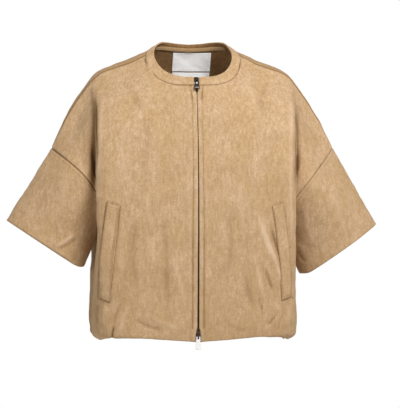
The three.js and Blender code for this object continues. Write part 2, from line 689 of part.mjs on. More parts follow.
// A slider in its own frame: X across, Y down the zip, Z out of the jacket
function sliderGeometry() {
  const { halfWidth, halfLength, back: behind, front } = SLIDER;
  const under = front + ARCH.clearance;
  const over = under + ARCH.strap;
  const sides = [-ARCH.halfWidth, ARCH.halfWidth];
  return joined([
    boxAt([-halfWidth, halfWidth], [-halfLength, halfLength], [behind, front]),
    boxAt(sides, [ARCH.up, ARCH.up + ARCH.strap], [front - MERGE, over]),
    boxAt(sides, [ARCH.down - ARCH.strap, ARCH.down], [front - MERGE, over]),
    boxAt(sides, [ARCH.up, ARCH.down], [under, over]),
  ]);
}

// A pull tab in the same frame, its bar on the origin: narrow at the head, wider at the tail
function pullGeometry(length) {
  const outline = new THREE.Shape();
  outline.moveTo(-PULL.headHalf, -PULL.bar);
  outline.lineTo(PULL.headHalf, -PULL.bar);
  outline.lineTo(PULL.headHalf, length * PULL.flareShare);
  outline.lineTo(PULL.tailHalf, length);
  outline.lineTo(-PULL.tailHalf, length);
  outline.lineTo(-PULL.headHalf, length * PULL.flareShare);
  outline.closePath();
  const window = new THREE.Path();
  window.moveTo(-PULL.window, PULL.bar);
  window.lineTo(-PULL.window, PULL.windowEnd);
  window.lineTo(PULL.window, PULL.windowEnd);
  window.lineTo(PULL.window, PULL.bar);
  window.closePath();
  outline.holes.push(window);
  const plate = new THREE.ExtrudeGeometry(outline, { depth: 2 * PULL.bar, bevelEnabled: false });
  return plate.translate(0, 0, -PULL.bar);
}

function addSliders() {
  for (const { name, z, length, colour } of ZIP_ENDS) {
    const { at, down } = centreAt(z);
    const across = vector(-1, 0, 0);
    const frame = new THREE.Group();
    frame.position.copy(at);
    frame.quaternion.setFromRotationMatrix(
      new THREE.Matrix4().makeBasis(across, down, across.clone().cross(down)));
    group.add(frame);
    const slider = addPiece(`zip_slider_${name}`, sliderGeometry(), MATERIALS.slider);
    const pull = addPiece(`zip_pull_${name}`, pullGeometry(length), { ...MATERIALS.slider, color: colour });
    pull.position.set(0, PULL.barAlong, PULL.barUp);
    frame.add(slider, pull);
  }
}

// Inside of the back neck: a tape over the neck seam, and two bare labels below it
function addNeckTape() {
  const { fromDeg, steps, onBand, onBack } = NECK_TAPE;
  const half = [];
  for (let k = 0; k <= steps; k += 1) half.push(mix(fromDeg, 180, k / steps));
  const uOf = (deg) => NECK_U * (180 - deg) / (180 - SHOULDER_DEG);
  const rows = [
    half.map((deg) => seamPoint(deg).lerp(rimPoint(deg), onBand)),
    half.map(seamPoint),
    half.map((deg) => BACK.left.point(uOf(deg), BACK.left.topAt + onBack)),
  ].map((row) => [...row, ...row.slice(0, -1).reverse().map(mirrored)]);
  addOnShell('neck_tape', rows, -1, { from: -(WALL / 2 + TRIM_LIFT), wall: NECK_TAPE.wall }, MATERIALS.tape);
}

function addLabel(name, label) {
  const grid = [];
  for (let i = 0; i <= LABEL_STEPS; i += 1) {
    const row = [];
    for (let j = 0; j <= LABEL_STEPS; j += 1) {
      const x = label.middleX + mix(-label.halfWidth, label.halfWidth, j / LABEL_STEPS);
      const z = mix(label.topZ, label.bottomZ, i / LABEL_STEPS);
      const p = findOn(BACK.left, Math.abs(x), z);
      row.push(x < 0 ? mirrored(p) : p);
    }
    grid.push(row);
  }
  addOnShell(name, grid, 1, { from: -(WALL / 2 + TRIM_LIFT), wall: label.wall }, MATERIALS.label);
}

// Elastic casing: the hem line is sampled evenly, then drawn in and out in small waves
function addCasing() {
  const fromFold = (grid) => grid[grid.length - 1].slice(FOLD_STATION);
  const leftFront = fromFold(frontLeft).map((p) => p.clone());
  const hem = [...leftFront.map(mirrored), ...back[back.length - 1].slice(1, -1), ...leftFront.reverse()];
  const lengths = [0];
  hem.slice(1).forEach((p, i) => lengths.push(lengths[i] + p.distanceTo(hem[i])));
  const total = lengths[lengths.length - 1];
  const count = CASING.waves * CASING.stepsPerWave;
  const lineAt = (distance) => {
    const i = Math.max(1, lengths.findIndex((length) => length >= distance - MERGE));
    return hem[i - 1].clone().lerp(hem[i], (distance - lengths[i - 1]) / (lengths[i] - lengths[i - 1]));
  };
  const rows = [0, 1, 2].map(() => []);
  for (let k = 0; k <= count; k += 1) {
    const p = lineAt((total * k) / count);
    const ahead = lineAt((total * Math.min(k + 1, count)) / count);
    const behind = lineAt((total * Math.max(k - 1, 0)) / count);
    const along = ahead.sub(behind).setZ(0).normalize();
    const inward = vector(along.y, -along.x, 0);
    const wave = (1 - Math.cos((2 * Math.PI * k) / CASING.stepsPerWave)) * CASING.waveDepth;
    rows.forEach((row, level) => row.push(p.clone()
      .addScaledVector(inward, CASING.inset + (level / 2) * wave)
      .setZ(p.z + (level / 2) * CASING.height)));
  }
  addOnShell('hem_casing', rows, CASING.outward, { from: -LIFT, wall: CASING.wall }, MATERIALS.suede);
}

addShell();
addWelts();
addZipTapes();
addChain();
addSliders();
addNeckTape();
addLabel('label_main', MAIN_LABEL);
addLabel('label_size', SIZE_LABEL);
addCasing();

export default group;
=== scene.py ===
"""Looks of the collarless suede jacket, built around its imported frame.

Tables and lengths are in millimetres, +Z up, with the front towards -Y and the wearer's left on +X.
"""

import math

import bmesh
import bpy
import numpy as np
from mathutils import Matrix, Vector


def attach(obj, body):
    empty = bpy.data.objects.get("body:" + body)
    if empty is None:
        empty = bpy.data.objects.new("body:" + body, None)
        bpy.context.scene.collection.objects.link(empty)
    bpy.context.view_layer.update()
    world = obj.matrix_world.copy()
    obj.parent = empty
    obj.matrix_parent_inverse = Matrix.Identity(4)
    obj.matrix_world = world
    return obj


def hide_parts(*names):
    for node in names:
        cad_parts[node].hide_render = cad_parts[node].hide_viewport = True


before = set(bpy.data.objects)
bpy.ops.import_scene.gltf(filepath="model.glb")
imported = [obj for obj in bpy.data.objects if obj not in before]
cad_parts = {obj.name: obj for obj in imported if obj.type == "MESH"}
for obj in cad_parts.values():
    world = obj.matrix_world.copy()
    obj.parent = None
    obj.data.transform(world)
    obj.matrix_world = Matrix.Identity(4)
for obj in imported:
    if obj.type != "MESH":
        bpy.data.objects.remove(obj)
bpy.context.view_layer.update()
MM = 0.001


def table(names, *rows):
    """A short table as its columns by name."""
    return dict(zip(names.split(), np.array(rows, float).T))


# The jacket's named sizes
WALL = 2.0
LIFT = 0.3
TRIM_LIFT = 0.8
NECK_FRONT_Z, NECK_BACK_Z, UNDERARM_Z, HEM_Z = -71.0, 2.0, -338.0, -549.0
SEAM_LOOP = {"half_width": 90, "middle_y": -22, "front": 64, "back": 84}
RIM_LOOP = {"half_width": 74, "middle_y": -16, "front": 60, "back": 78}
SHOULDER_DEG = 100.0
NECK = table(
    "deg seam_z rim_z",
    (0, -71, -56), (35, -67, -51), (55, -55, -40), (72, -38, -26), (88, -19, -12), (100, -11, -2),
    (118, 2, 11.5), (132, 4.5, 16.8), (145, 5, 17), (160, 3.5, 15), (180, 2, 13.3),
)
SHOULDER = table(
    "x seam_y seam_z crest_y crest_z",
    (88.6, -7.4, -11, 13, -4), (120, -17, -27, 6, -17), (150, -20, -38, 6, -30),
    (180, -19, -52, 6, -43.5), (196, -17, -68, 6, -61), (214, -14, -90, 5, -84),
    (240, -10, -131, 4, -127), (268, -4, -187, 1, -183),
)
ARMHOLES = {
    "left": np.array([(268, -187), (234, -230), (174, -284), (166, UNDERARM_Z)], float),
    "right": np.array([(268, -187), (228, -222), (168, -262), (166, UNDERARM_Z)], float),
}
ARMHOLE_START_Y = -4.0
ARMHOLE_REACH = {-1: 68.0, 1: 74.0}
COLUMN_U = np.array([0, 0.22, 0.44, 0.64, 0.72, 0.84, 1])
NECK_U, FOLD_COLUMN = COLUMN_U[2], 3
TOP_X = {"chest": 46, "fold": 187, "valley": 197, "sleeve": 232}
UNDER_X = (0, 70, 132, 185)
VALLEY_SHARE, SLEEVE_SHARE = 0.12, 0.5
FRONT_SECTIONS = table(
    "drop centre chest panel fold valley sleeve steps",
    (0.08, 93, 89, 37, 35, 30, 22, 1), (0.2, 102, 100, 72, 62, 53, 44, 2),
    (0.36, 111, 110, 99, 83, 64, 59, 2), (0.55, 118, 117, 112, 93, 60, 66, 3),
    (0.77, 121, 120, 116, 97, 68, 62, 3), (1, 121, 120, 115, 96, 76, 46, 3),
)
BACK_SECTIONS = table(
    "drop centre chest panel fold valley sleeve steps",
    (0.12, 84, 80, 46, 37, 33, 29, 3), (0.25, 96, 94, 78, 64, 57, 48, 3),
    (0.45, 106, 105, 98, 84, 73, 70, 3), (0.7, 112, 111, 106, 92, 79, 75, 3),
    (1, 114, 113, 108, 90, 76, 52, 3),
)
CREST = {"drop": 0.03, "centre": 70, "chest": 58, "neck_gap": 3, "steps": 1}
CHEST_TURN = {"front": 0.66, "back": 0.4}
LOWER_SECTIONS = table(
    "z side_x side_z bulge front back corner fold_x steps",
    (-405, 181, -405, 187, 120, 114, 87, 185, 3), (-470, 187, -470, 190, 117, 114, 82, 184, 2),
    (-526, 188, -525, 191, 114, 110, 79, 184, 2), (-541, 185, -540, 188, 112, 103, 75, 181, 2),
    (HEM_Z, 173, -547, 177, 111, 90, 67, 173, 2),
)
HEM_LIFTS = (5, 10, 5)
# Below the underarm: how the back's middle settles, and where the rows between middle and side lie
LOWER = {"settle": 0.8, "chest_less": 1, "to_corner": 0.2, "bulge_depth": 0.66, "outer": 0.55,
         "outer_depth": 0.32, "back_corner_less": 4}
TOP_BLEND = 60.0
CUFFS = {
    "left": {"outer": (353, -331), "inner": (208, -432)},
    "right": {"outer": (350, -324), "inner": (207, -418)},
}
CUFF_HALF_DEPTH, CUFF_TIP_POWER, CUFF_FOLD_POWER = 47.0, 1.3, 0.9
CUFF_CORNER = {"from": 0.88, "lift": 8.0}
SLEEVE_AIM = np.array([0.5, 0, -0.866])
UNDERARM_AIM = np.array([0.72, 0, -0.69])
EDGE_GAP = {"slider": 4.7, "top": 1.2, "bottom": 2.6}
EDGE_GAP_TOP_Z, EDGE_GAP_BOTTOM_Z = -90.0, -526.0
PLACKET_X = 12.0
CHAIN = {"thickness": 2.2, "top": -63.5, "bottom": -531.5}
TAPE = {"inner": 2.95, "outer": 15.0, "top": -72.0, "bottom": -546.0, "wall": 1.0}
SLIDER = {"half_width": 4.2, "half_length": 5.8, "back": -1.0, "front": 2.8}
ARCH = {"half_width": 1.1, "reach": 4.0, "clearance": 3.0, "strap": 1.0}
PULL = {"bar": 0.8, "along": 1.0, "up": 4.3, "head": 3.7, "tail": 5.5, "window": 1.5, "window_end": 6.2,
        "flare": 0.42}
# Each slider's level and its pull tab's length
ZIP_ENDS = {"top": (-61.5, 21.0), "bottom": (-538.0, 24.0)}
WELTS = {
    "left": {"top": ((138, -296), (159, -291)), "bottom": ((157, -472), (175, -466))},
    "right": {"top": ((146, -296), (168, -290)), "bottom": ((162, -475), (180, -467))},
}
WELT = {"bow": 4.0, "wall": 1.5}
NECK_TAPE = {"from_deg": 129.0, "on_band": 0.35, "on_back": 1.5, "wall": 1.0}
# Half width, middle x, top and bottom of each label
LABELS = {"label_main": (36.5, 6.0, -2.2, -36.5), "label_size": (36.0, 6.0, -39.0, -60.0)}
CASING = {"height": 26.0, "waves": 48, "wave_depth": 1.4, "wall": 1.6}

# Fineness of the cloth
COLUMN_STEPS = (14, 14, 30, 14, 12, 14)
ROW_PITCH = 3.2
SLEEVE_RINGS = 48
BAND_ROWS = 10

# View of the photograph, 400x408
VIEW_AZIMUTH = math.radians(-6.0)
VIEW_DISTANCE = 5000.0
VIEW_AIM_RIGHT, VIEW_AIM_Z = 15.2, -292.6
PIXEL = 1.9
MIDDLE_PX, MIDDLE_PY = 200.0, 204.0
VIEW_RIGHT = np.array([math.cos(VIEW_AZIMUTH), math.sin(VIEW_AZIMUTH), 0])
VIEW_BACK = np.array([math.sin(VIEW_AZIMUTH), -math.cos(VIEW_AZIMUTH), 0])


# Smooth curves and surfaces
def weights(knots, at):
    """How much each knot's value counts at each place of a smooth curve through them all."""
    knots, at = np.asarray(knots, float), np.asarray(at, float)
    spans = np.diff(knots)
    values = np.eye(len(knots))
    rise = np.diff(values, axis=0) / spans[:, None]
    before, after = spans[:-1, None], spans[1:, None]
    middle = (rise[1:] * before + rise[:-1] * after) / (before + after)
    slope = np.vstack([rise[:1], middle, rise[-1:]])
    i = np.clip(np.searchsorted(knots, at, side="left") - 1, 0, len(knots) - 2)
    span = spans[i][:, None]
    t = (at - knots[i])[:, None] / span
    t2, t3 = t * t, t * t * t
    return (
        (2 * t3 - 3 * t2 + 1) * values[i] + (t3 - 2 * t2 + t) * span * slope[i]
        + (3 * t2 - 2 * t3) * values[i + 1] + (t3 - t2) * span * slope[i + 1]
    )


def curve(knots, values, at):
    return weights(knots, at) @ np.asarray(values, float)


def unit(v):
    return v / np.maximum(np.linalg.norm(v, axis=-1, keepdims=True), 1e-9)


def mix(a, b, share):
    return a + (b - a) * share


def ease(x):
    x = np.clip(x, 0, 1)
    return x * x * (3 - 2 * x)


def vectors(x, y, z):
    return np.stack(np.broadcast_arrays(x, y, z), -1).astype(float)


def mirrored(points):
    return points * np.array([-1.0, 1, 1])


def neck_points(loop, level, degrees):
    degrees = np.asarray(degrees, float)
    angle = np.radians(degrees)
    reach = np.where(degrees < 90, loop["front"], loop["back"])
    return vectors(
        loop["half_width"] * np.sin(angle), loop["middle_y"] - reach * np.cos(angle),
        curve(NECK["deg"], NECK[level], degrees),
    )


def seam_points(degrees):
    return neck_points(SEAM_LOOP, "seam_z", degrees)


def rim_points(degrees):
    return neck_points(RIM_LOOP, "rim_z", degrees)


def shoulder_points(x, line):
    x = np.atleast_1d(np.asarray(x, float))
    y, z = (curve(SHOULDER["x"], SHOULDER[line + end], x) for end in ("_y", "_z"))
    return vectors(x, y, z)


def armhole_points(armhole, t, reach):
    t = np.atleast_1d(np.asarray(t, float))
    s = 1 - t
    bezier = np.stack([s**3, 3 * s * s * t, 3 * s * t * t, t**3], -1) @ armhole
    return vectors(bezier[:, 0], ARMHOLE_START_Y * s + reach * np.sin(np.pi * t), bezier[:, 1])


def rows_of(values):
    """A table's rows, one dict each."""
    count = len(next(iter(values.values())))
    return [{name: column[i] for name, column in values.items()} for i in range(count)]


def subdivided(stops, steps):
    """Places from stop to stop, in that many even steps each."""
    parts = [np.linspace(a, b, int(n) + 1)[1:] for a, b, n in zip(stops, stops[1:], steps)]
    return np.concatenate([[stops[0]], *parts])


class Panel:
    """One half panel, drawn on the wearer's left: u runs from the centre to the edge, at runs down."""

    def __init__(self, side, armhole):
        self.side, self.armhole = side, armhole
        front = side < 0
        self.neck_z = NECK_FRONT_Z if front else NECK_BACK_Z
        self.reach = side * ARMHOLE_REACH[side]
        chest_deg = (SHOULDER_DEG / 2 * CHEST_TURN["front"] if front
                     else 180 - (180 - SHOULDER_DEG) * CHEST_TURN["back"])
        neck = seam_points([0 if front else 180, chest_deg, SHOULDER_DEG])
        across = [TOP_X["fold"], TOP_X["valley"], TOP_X["sleeve"]]
        start = armhole_points(armhole, 0, self.reach)
        guide = np.vstack([neck, shoulder_points(across, "seam"), start])
        knots, steps, rows = [-self.neck_z], [], [guide]
        guide_drop = 0.0
        if not front:
            drop = guide_drop = CREST["drop"]
            levels = neck[:2, 2] + (UNDERARM_Z - neck[:2, 2]) * drop
            guide = np.vstack([
                vectors(np.array([0, TOP_X["chest"]]), np.array([CREST["centre"], CREST["chest"]]), levels),
                shoulder_points([SHOULDER["x"][0] + CREST["neck_gap"], *across], "crest"),
                armhole_points(armhole, drop, self.reach),
            ])
            knots.append(mix(-self.neck_z, -UNDERARM_Z, drop))
            steps.append(CREST["steps"])
            rows.append(guide)
        for section in rows_of(FRONT_SECTIONS if front else BACK_SECTIONS):
            share = (section["drop"] - guide_drop) / (1 - guide_drop)
            stands = np.array([section[name] for name in ("centre", "chest", "panel", "fold")])
            inner = vectors(mix(guide[:4, 0], np.array(UNDER_X), share), side * stands,
                            mix(guide[:4, 2], UNDERARM_Z, share))
            fold, edge = inner[FOLD_COLUMN], armhole_points(armhole, section["drop"], self.reach)[0]
            between = [
                (mix(fold[0], edge[0], part), side * section[name], mix(fold[2], edge[2], part))
                for name, part in (("valley", VALLEY_SHARE), ("sleeve", SLEEVE_SHARE))
            ]
            knots.append(mix(-self.neck_z, -UNDERARM_Z, section["drop"]))
            steps.append(section["steps"])
            rows.append(np.vstack([inner, between, edge]))
        for section in rows_of(LOWER_SECTIONS):
            z, side_z = section["z"], section["side_z"]
            depth = section["front" if front else "back"]
            corner = section["corner"] - (0 if front else LOWER["back_corner_less"])
            lifts = HEM_LIFTS if front and z == HEM_Z else (side_z - z,) * 3
            rows.append(np.array([
                (0, side * depth, z if front else mix(z, side_z, LOWER["settle"])),
                (UNDER_X[1], side * (depth - LOWER["chest_less"]), z + lifts[0]),
                (UNDER_X[2], side * mix(depth, corner, LOWER["to_corner"]), z + lifts[1]),
                (section["fold_x"], side * corner, z + lifts[2]),
                (section["bulge"], side * corner * LOWER["bulge_depth"], side_z),
                (mix(section["bulge"], section["side_x"], LOWER["outer"]),
                 side * corner * LOWER["outer_depth"], side_z),
                (section["side_x"], 0, side_z),
            ]))
            knots.append(-z)
            steps.append(section["steps"])
        self.knots, self.rows = np.array(knots), np.array(rows)
        self.coarse = subdivided(knots, steps)

    def plain(self, u, at):
        down, across = weights(self.knots, at), weights(COLUMN_U, u)
        return np.einsum("nr,rkc,nk->nc", down, self.rows, across, optimize=True)

    def edge(self, at):
        upper = armhole_points(self.armhole, (at + self.neck_z) / (self.neck_z - UNDERARM_Z), self.reach)
        sides = vectors(LOWER_SECTIONS["side_x"], 0, LOWER_SECTIONS["side_z"])
        stops = np.vstack([armhole_points(self.armhole, 1, 0), sides])
        lower = curve([-UNDERARM_Z, *-LOWER_SECTIONS["z"]], stops, at)
        return np.where((at <= -UNDERARM_Z)[:, None], upper, lower)

    def top(self, u):
        start = 0 if self.side < 0 else 180
        neck = seam_points(mix(start, SHOULDER_DEG, np.minimum(u / NECK_U, 1)))
        stops = [SHOULDER["x"][0], TOP_X["fold"], TOP_X["valley"], TOP_X["sleeve"], SHOULDER["x"][-1]]
        shoulder = shoulder_points(curve(COLUMN_U[2:], stops, np.maximum(u, NECK_U)), "seam")
        return np.where((u <= NECK_U)[:, None], neck, shoulder)

    def point(self, u, at):
        """Points at matching lists of u and at."""
        u, at = np.broadcast_arrays(np.atleast_1d(u).astype(float), np.atleast_1d(at).astype(float))
        first = np.full_like(at, self.knots[0])
        near_top = (np.maximum(0, 1 - (at - self.knots[0]) / TOP_BLEND) ** 2)[:, None]
        p = self.plain(u, at) + near_top * (self.top(u) - self.plain(u, first))
        ones = np.ones_like(u)
        settled = self.plain(ones, at) + near_top * (self.top(ones) - self.plain(ones, first))
        near_edge = (np.maximum(0, (u - COLUMN_U[5]) / (1 - COLUMN_U[5])) ** 2)[:, None]
        return p + near_edge * (self.edge(at) - settled)

    def grid(self, stations, downs):
        u, at = np.meshgrid(stations, downs)
        return self.point(u.ravel(), at.ravel()).reshape(len(downs), len(stations), 3)


def fine_downs(panel):
    stops = [panel.knots[0], -UNDERARM_Z, -HEM_Z]
    return subdivided(stops, [math.ceil((b - a) / ROW_PITCH) for a, b in zip(stops, stops[1:])])


def edge_gap(z):
    """Half the gap between the front edges."""
    low, sliver = EDGE_GAP_BOTTOM_Z, 0.01
    stops = [HEM_Z, low - sliver, low, EDGE_GAP_TOP_Z, NECK_FRONT_Z]
    gaps = [EDGE_GAP[name] for name in ("slider", "slider", "bottom", "top", "slider")]
    return np.interp(z, stops, gaps)


STATIONS = subdivided(COLUMN_U, COLUMN_STEPS)
FRONT = {side: Panel(-1, armhole) for side, armhole in ARMHOLES.items()}
BACK = {side: Panel(1, armhole) for side, armhole in ARMHOLES.items()}
FRONT_DOWNS, BACK_DOWNS = fine_downs(FRONT["left"]), fine_downs(BACK["left"])


def front_grid(side):
    grid = FRONT[side].grid(STATIONS, FRONT_DOWNS)
    gap = edge_gap(grid[:, 0, 2])[:, None]
    x = grid[:, :, 0]
    grid[:, :, 0] = x + gap * np.clip(1 - x / PLACKET_X, 0, 1)
    return grid


def sleeve_grid(front, back, cuff):
    """Rings from the dropped shoulder end down the front to the underarm and up the back."""
    def arm_edge(grid, downs, panel):
        lowest = -UNDERARM_Z + 1e-6
        keep = downs <= lowest
        coarse = panel.coarse[panel.coarse <= lowest]
        turn = curve(coarse, np.linspace(0, 1, len(coarse)), downs[keep])
        return grid[keep, -1], turn

    front_edge, front_turn = arm_edge(front, FRONT_DOWNS, FRONT["left"])
    back_edge, back_turn = arm_edge(back, BACK_DOWNS, BACK["left"])
    start = np.vstack([front_edge, back_edge[-2:0:-1]])
    turn = np.concatenate([front_turn, back_turn[-2:0:-1]])
    side = np.concatenate([-np.ones(len(front_turn)), np.ones(len(back_turn) - 2)])
    across = (1 - np.cos(np.pi * turn)) / 2
    depth = CUFF_HALF_DEPTH * np.sin(np.pi * turn) ** mix(CUFF_TIP_POWER, CUFF_FOLD_POWER, across)
    outer, inner = np.array(cuff["outer"]), np.array(cuff["inner"])
    corner = np.maximum(0, (across - CUFF_CORNER["from"]) / (1 - CUFF_CORNER["from"]))
    lift = CUFF_CORNER["lift"] * corner**2
    end = vectors(mix(outer[0], inner[0], across), side * depth, mix(outer[1], inner[1], across) + lift)
    length = np.linalg.norm(end - start, axis=1)[:, None]
    leaving = mix(SLEEVE_AIM, UNDERARM_AIM, turn[:, None]) * length
    rings = []
    for t in np.linspace(0, 1, SLEEVE_RINGS + 1):
        t2, t3 = t * t, t * t * t
        rings.append(
            start * (2 * t3 - 3 * t2 + 1) + leaving * (t3 - 2 * t2 + t)
            + end * (3 * t2 - 2 * t3) + SLEEVE_AIM * length * (t3 - t2)
        )
    return np.array(rings), len(front_turn) - 1


def band_grid():
    neck = STATIONS[STATIONS <= NECK_U + 1e-9]
    front = mix(0, SHOULDER_DEG, neck / NECK_U)
    back = mix(180, SHOULDER_DEG, neck / NECK_U)[::-1][1:]
    degrees = np.concatenate([front, back])
    rows = []
    for share in np.linspace(0, 1, BAND_ROWS + 1):
        left = mix(seam_points(degrees), rim_points(degrees), share)
        x = left[:, 0]
        left[:, 0] = np.where(degrees < 90, x + EDGE_GAP["slider"] * np.clip(1 - x / PLACKET_X, 0, 1), x)
        rows.append(np.vstack([left, mirrored(left[:-1][::-1])]))
    return np.array(rows)


# Relief: seams, folds and unevenness, all as heights along the cloth's outward normal
def to_photo(points):
    """Pixels of the 400x408 photograph where points show."""
    right, depth = points @ VIEW_RIGHT, VIEW_DISTANCE - points @ VIEW_BACK
    per_pixel = PIXEL * depth / VIEW_DISTANCE
    px = MIDDLE_PX + (right - VIEW_AIM_RIGHT) / per_pixel
    return np.stack([px, MIDDLE_PY - (points[..., 2] - VIEW_AIM_Z) / per_pixel], -1)


def along_path(spots, path):
    """Distance of each spot from a path, on which side it lies, and how far along it, from 0 to 1."""
    path = np.asarray(path, float)
    lengths = np.linalg.norm(np.diff(path, axis=0), axis=1)
    starts = np.concatenate([[0], np.cumsum(lengths)])
    best = np.full(len(spots), 1e9)
    side, place = np.zeros(len(spots)), np.zeros(len(spots))
    for a, b, length, start in zip(path, path[1:], lengths, starts):
        way = (b - a) / length
        off = spots - a
        t = np.clip(off @ way, 0, length)
        gap = np.linalg.norm(off - t[:, None] * way, axis=1)
        closer = gap < best
        best = np.where(closer, gap, best)
        side = np.where(closer, np.sign(way[0] * off[:, 1] - way[1] * off[:, 0]), side)
        place = np.where(closer, (start + t) / starts[-1], place)
    return best, side, place


def smooth_path(stops, per_span=6):
    stops = np.asarray(stops, float)
    if len(stops) < 3:
        return stops
    knots = np.arange(len(stops))
    return curve(knots, stops, np.linspace(0, len(stops) - 1, (len(stops) - 1) * per_span + 1))


# Folds of the front: height in mm (troughs below 0), half width in mm on the left and right of the
# path seen from its start, and the path in pixels of the photograph
FRONT_FOLDS = [
    # ridge over each body fold, with the valley beside it
    (1.5, 2.6, 5.5, [(99.5, 80), (100.5, 100), (99.5, 150), (97.5, 190), (95, 230), (92, 266)]),
    (-3.8, 9, 2.4, [(95, 86), (96, 115), (95.5, 160), (93.5, 205)]),
    (1.4, 5.5, 2.6, [(290, 80), (291, 110), (291, 150), (291, 190), (292, 230), (293, 266)]),
    (-2.6, 2.4, 7, [(295, 96), (296, 130), (296, 160), (295.5, 196)]),
    # bands along the placket
    (0.9, 3.5, 4.5, [(190.5, 96), (190, 200), (190.5, 334)]),
    (0.8, 4.5, 3.5, [(206, 96), (206, 200), (207, 334)]),
    # left front: light falls with shade between
    (1.2, 4.5, 4.5, [(145, 190), (149, 212), (152, 232)]),
    (1.1, 6, 5, [(147, 232), (152, 248), (156, 268)]),
    (-1.1, 8, 8, [(160, 200), (165, 240), (167, 285), (170, 318)]),
    (1.5, 5, 4.5, [(172, 250), (176, 268), (182, 288), (184, 306)]),
    (-1.1, 9, 9, [(136, 215), (133, 255), (137, 295)]),
    (0.9, 6, 6, [(123, 212), (121, 250), (122, 285)]),
    (-0.8, 9, 9, [(150, 110), (146, 150), (140, 185)]),
    (0.8, 8, 8, [(126, 110), (122, 150), (124, 188)]),
    # right front: ridges that run down and out to the pocket's foot
    (1.9, 3.2, 4, [(255, 208), (261, 226), (267, 245), (272, 262)]),
    (2.0, 3.2, 3.6, [(263, 226), (270, 246), (277, 266), (283, 288), (287, 307)]),
    (-1.9, 4, 4, [(268, 218), (276, 244), (283, 268), (288, 284)]),
    (1.7, 3.2, 3.6, [(253, 246), (257, 268), (261, 288), (265, 304)]),
    (-1.9, 4, 4, [(263, 262), (269, 280), (274, 296), (279, 308)]),
    (1.5, 4, 4, [(270, 286), (275, 300), (280, 314)]),
    (-1.3, 8, 8, [(245, 268), (248, 290), (254, 310)]),
    (-1.9, 2.4, 2.4, [(257, 292), (261, 304), (266.5, 323.5), (274.3, 317), (282, 307)]),
    (1.4, 3.5, 3.5, [(263, 312), (266, 324), (267, 333)]),
    (-0.9, 9, 9, [(228, 200), (231, 245), (226, 290)]),
    (0.8, 9, 8, [(241, 160), (240, 200), (243, 236)]),
    # bottom corners, where the casing begins
    (-1.2, 4, 4, [(121, 300), (116, 316), (113, 328)]),
    (-3.2, 2.8, 2.8, [(114.5, 325), (112.5, 333), (112, 342)]),
    (1.2, 5, 5, [(130, 302), (123, 320), (119, 336)]),
    (-1.2, 3.4, 3.4, [(99, 302), (96, 314), (98, 327)]),
    (0.9, 5, 5, [(107, 304), (104, 316), (104, 330)]),
    (-1.5, 4, 4, [(131, 318), (150, 327), (168, 331)]),
    (1.2, 5, 4.5, [(146, 314), (164, 323), (182, 330)]),
    (-1.0, 4, 4, [(286, 306), (281, 320), (276, 333)]),
    (0.8, 5, 5, [(290, 300), (288, 318), (285, 331)]),
    (-1.2, 5, 4.5, [(222, 320), (238, 329), (252, 331)]),
    # yoke
    (-1.0, 8, 8, [(118, 78), (132, 92), (140, 112)]),
    (-0.9, 2.6, 2.6, [(188, 78), (190.5, 83), (192.5, 88)]),
    (0.9, 9, 9, [(240, 78), (252, 96), (258, 118)]),
    (-1.1, 8, 8, [(268, 80), (262, 98), (262, 120)]),
    # sleeves
    (0.9, 9, 9, [(70, 165), (62, 195), (54, 222)]),
    (-0.7, 8, 8, [(88, 196), (80, 216), (70, 238)]),
    (1.7, 3.6, 3.6, [(54, 247.5), (65, 241), (77, 232.5)]),
    (-1.5, 3, 3, [(57, 250.5), (68, 244.5), (80, 236)]),
    (-0.7, 7, 7, [(46, 190), (40, 206), (32, 220)]),
    (0.9, 9, 9, [(308, 150), (312, 176), (316, 196)]),
    (-0.7, 8, 8, [(308, 196), (316, 216), (324, 236)]),
    (0.9, 9, 9, [(328, 190), (338, 212), (346, 234)]),
    (-1.2, 3.5, 3.5, [(297, 246), (300, 256), (307, 264)]),
    (0.9, 6, 6, [(304, 205), (308, 228), (314, 248)]),
]
# Sewn lines of the fronts, in pixels of the photograph: round each welt, and the mark at the foot of one
FRONT_LINES = [
    [(107, 201.5), (120.5, 205.5)], [(120.8, 205.5), (117, 240), (112.5, 280), (109.3, 301.6)],
    [(98, 298), (109, 302)], [(106.4, 203), (101, 250), (97.6, 298)],
    [(270, 202.8), (281.5, 203.2)],
    [(281.6, 204), (285.4, 222), (287.5, 243), (290, 270), (290.6, 297)],
    [(284, 252), (288, 250.5), (290, 247)], [(286, 297.5), (289.5, 295.5), (292.5, 298.5)],
]
# The same for the back, as x and z in mm seen from the front
BACK_FOLDS = [
    (-1.6, 16, 14, [(-120, -40), (-95, -120), (-90, -220), (-105, -330)]),
    (1.6, 15, 15, [(-60, -140), (-52, -260), (-62, -380), (-58, -470)]),
    (-1.5, 14, 16, [(-20, -200), (-14, -320), (-22, -440)]),
    (1.5, 14, 14, [(26, -120), (34, -240), (28, -360), (36, -470)]),
    (-1.7, 15, 15, [(118, -48), (98, -130), (92, -240), (104, -350)]),
    (1.6, 14, 14, [(70, -220), (76, -340), (70, -450)]),
    (2.0, 12, 9, [(-186, -90), (-190, -180), (-190, -280), (-186, -400)]),
    (2.0, 9, 12, [(186, -90), (190, -180), (190, -280), (186, -400)]),
    (-2.2, 9, 9, [(-150, -260), (-160, -340), (-152, -430), (-142, -500)]),
    (-2.2, 9, 9, [(150, -280), (158, -360), (150, -440), (138, -505)]),
    (1.8, 12, 12, [(-120, -380), (-112, -450), (-116, -520)]),
    (1.8, 12, 12, [(116, -390), (110, -460), (118, -522)]),
    (-1.8, 11, 12, [(-236, -170), (-222, -230), (-232, -300)]),
    (-1.8, 12, 11, [(236, -170), (222, -230), (232, -300)]),
    (1.6, 12, 12, [(-262, -230), (-272, -290), (-286, -345)]),
    (1.6, 12, 12, [(262, -230), (272, -290), (286, -345)]),
]


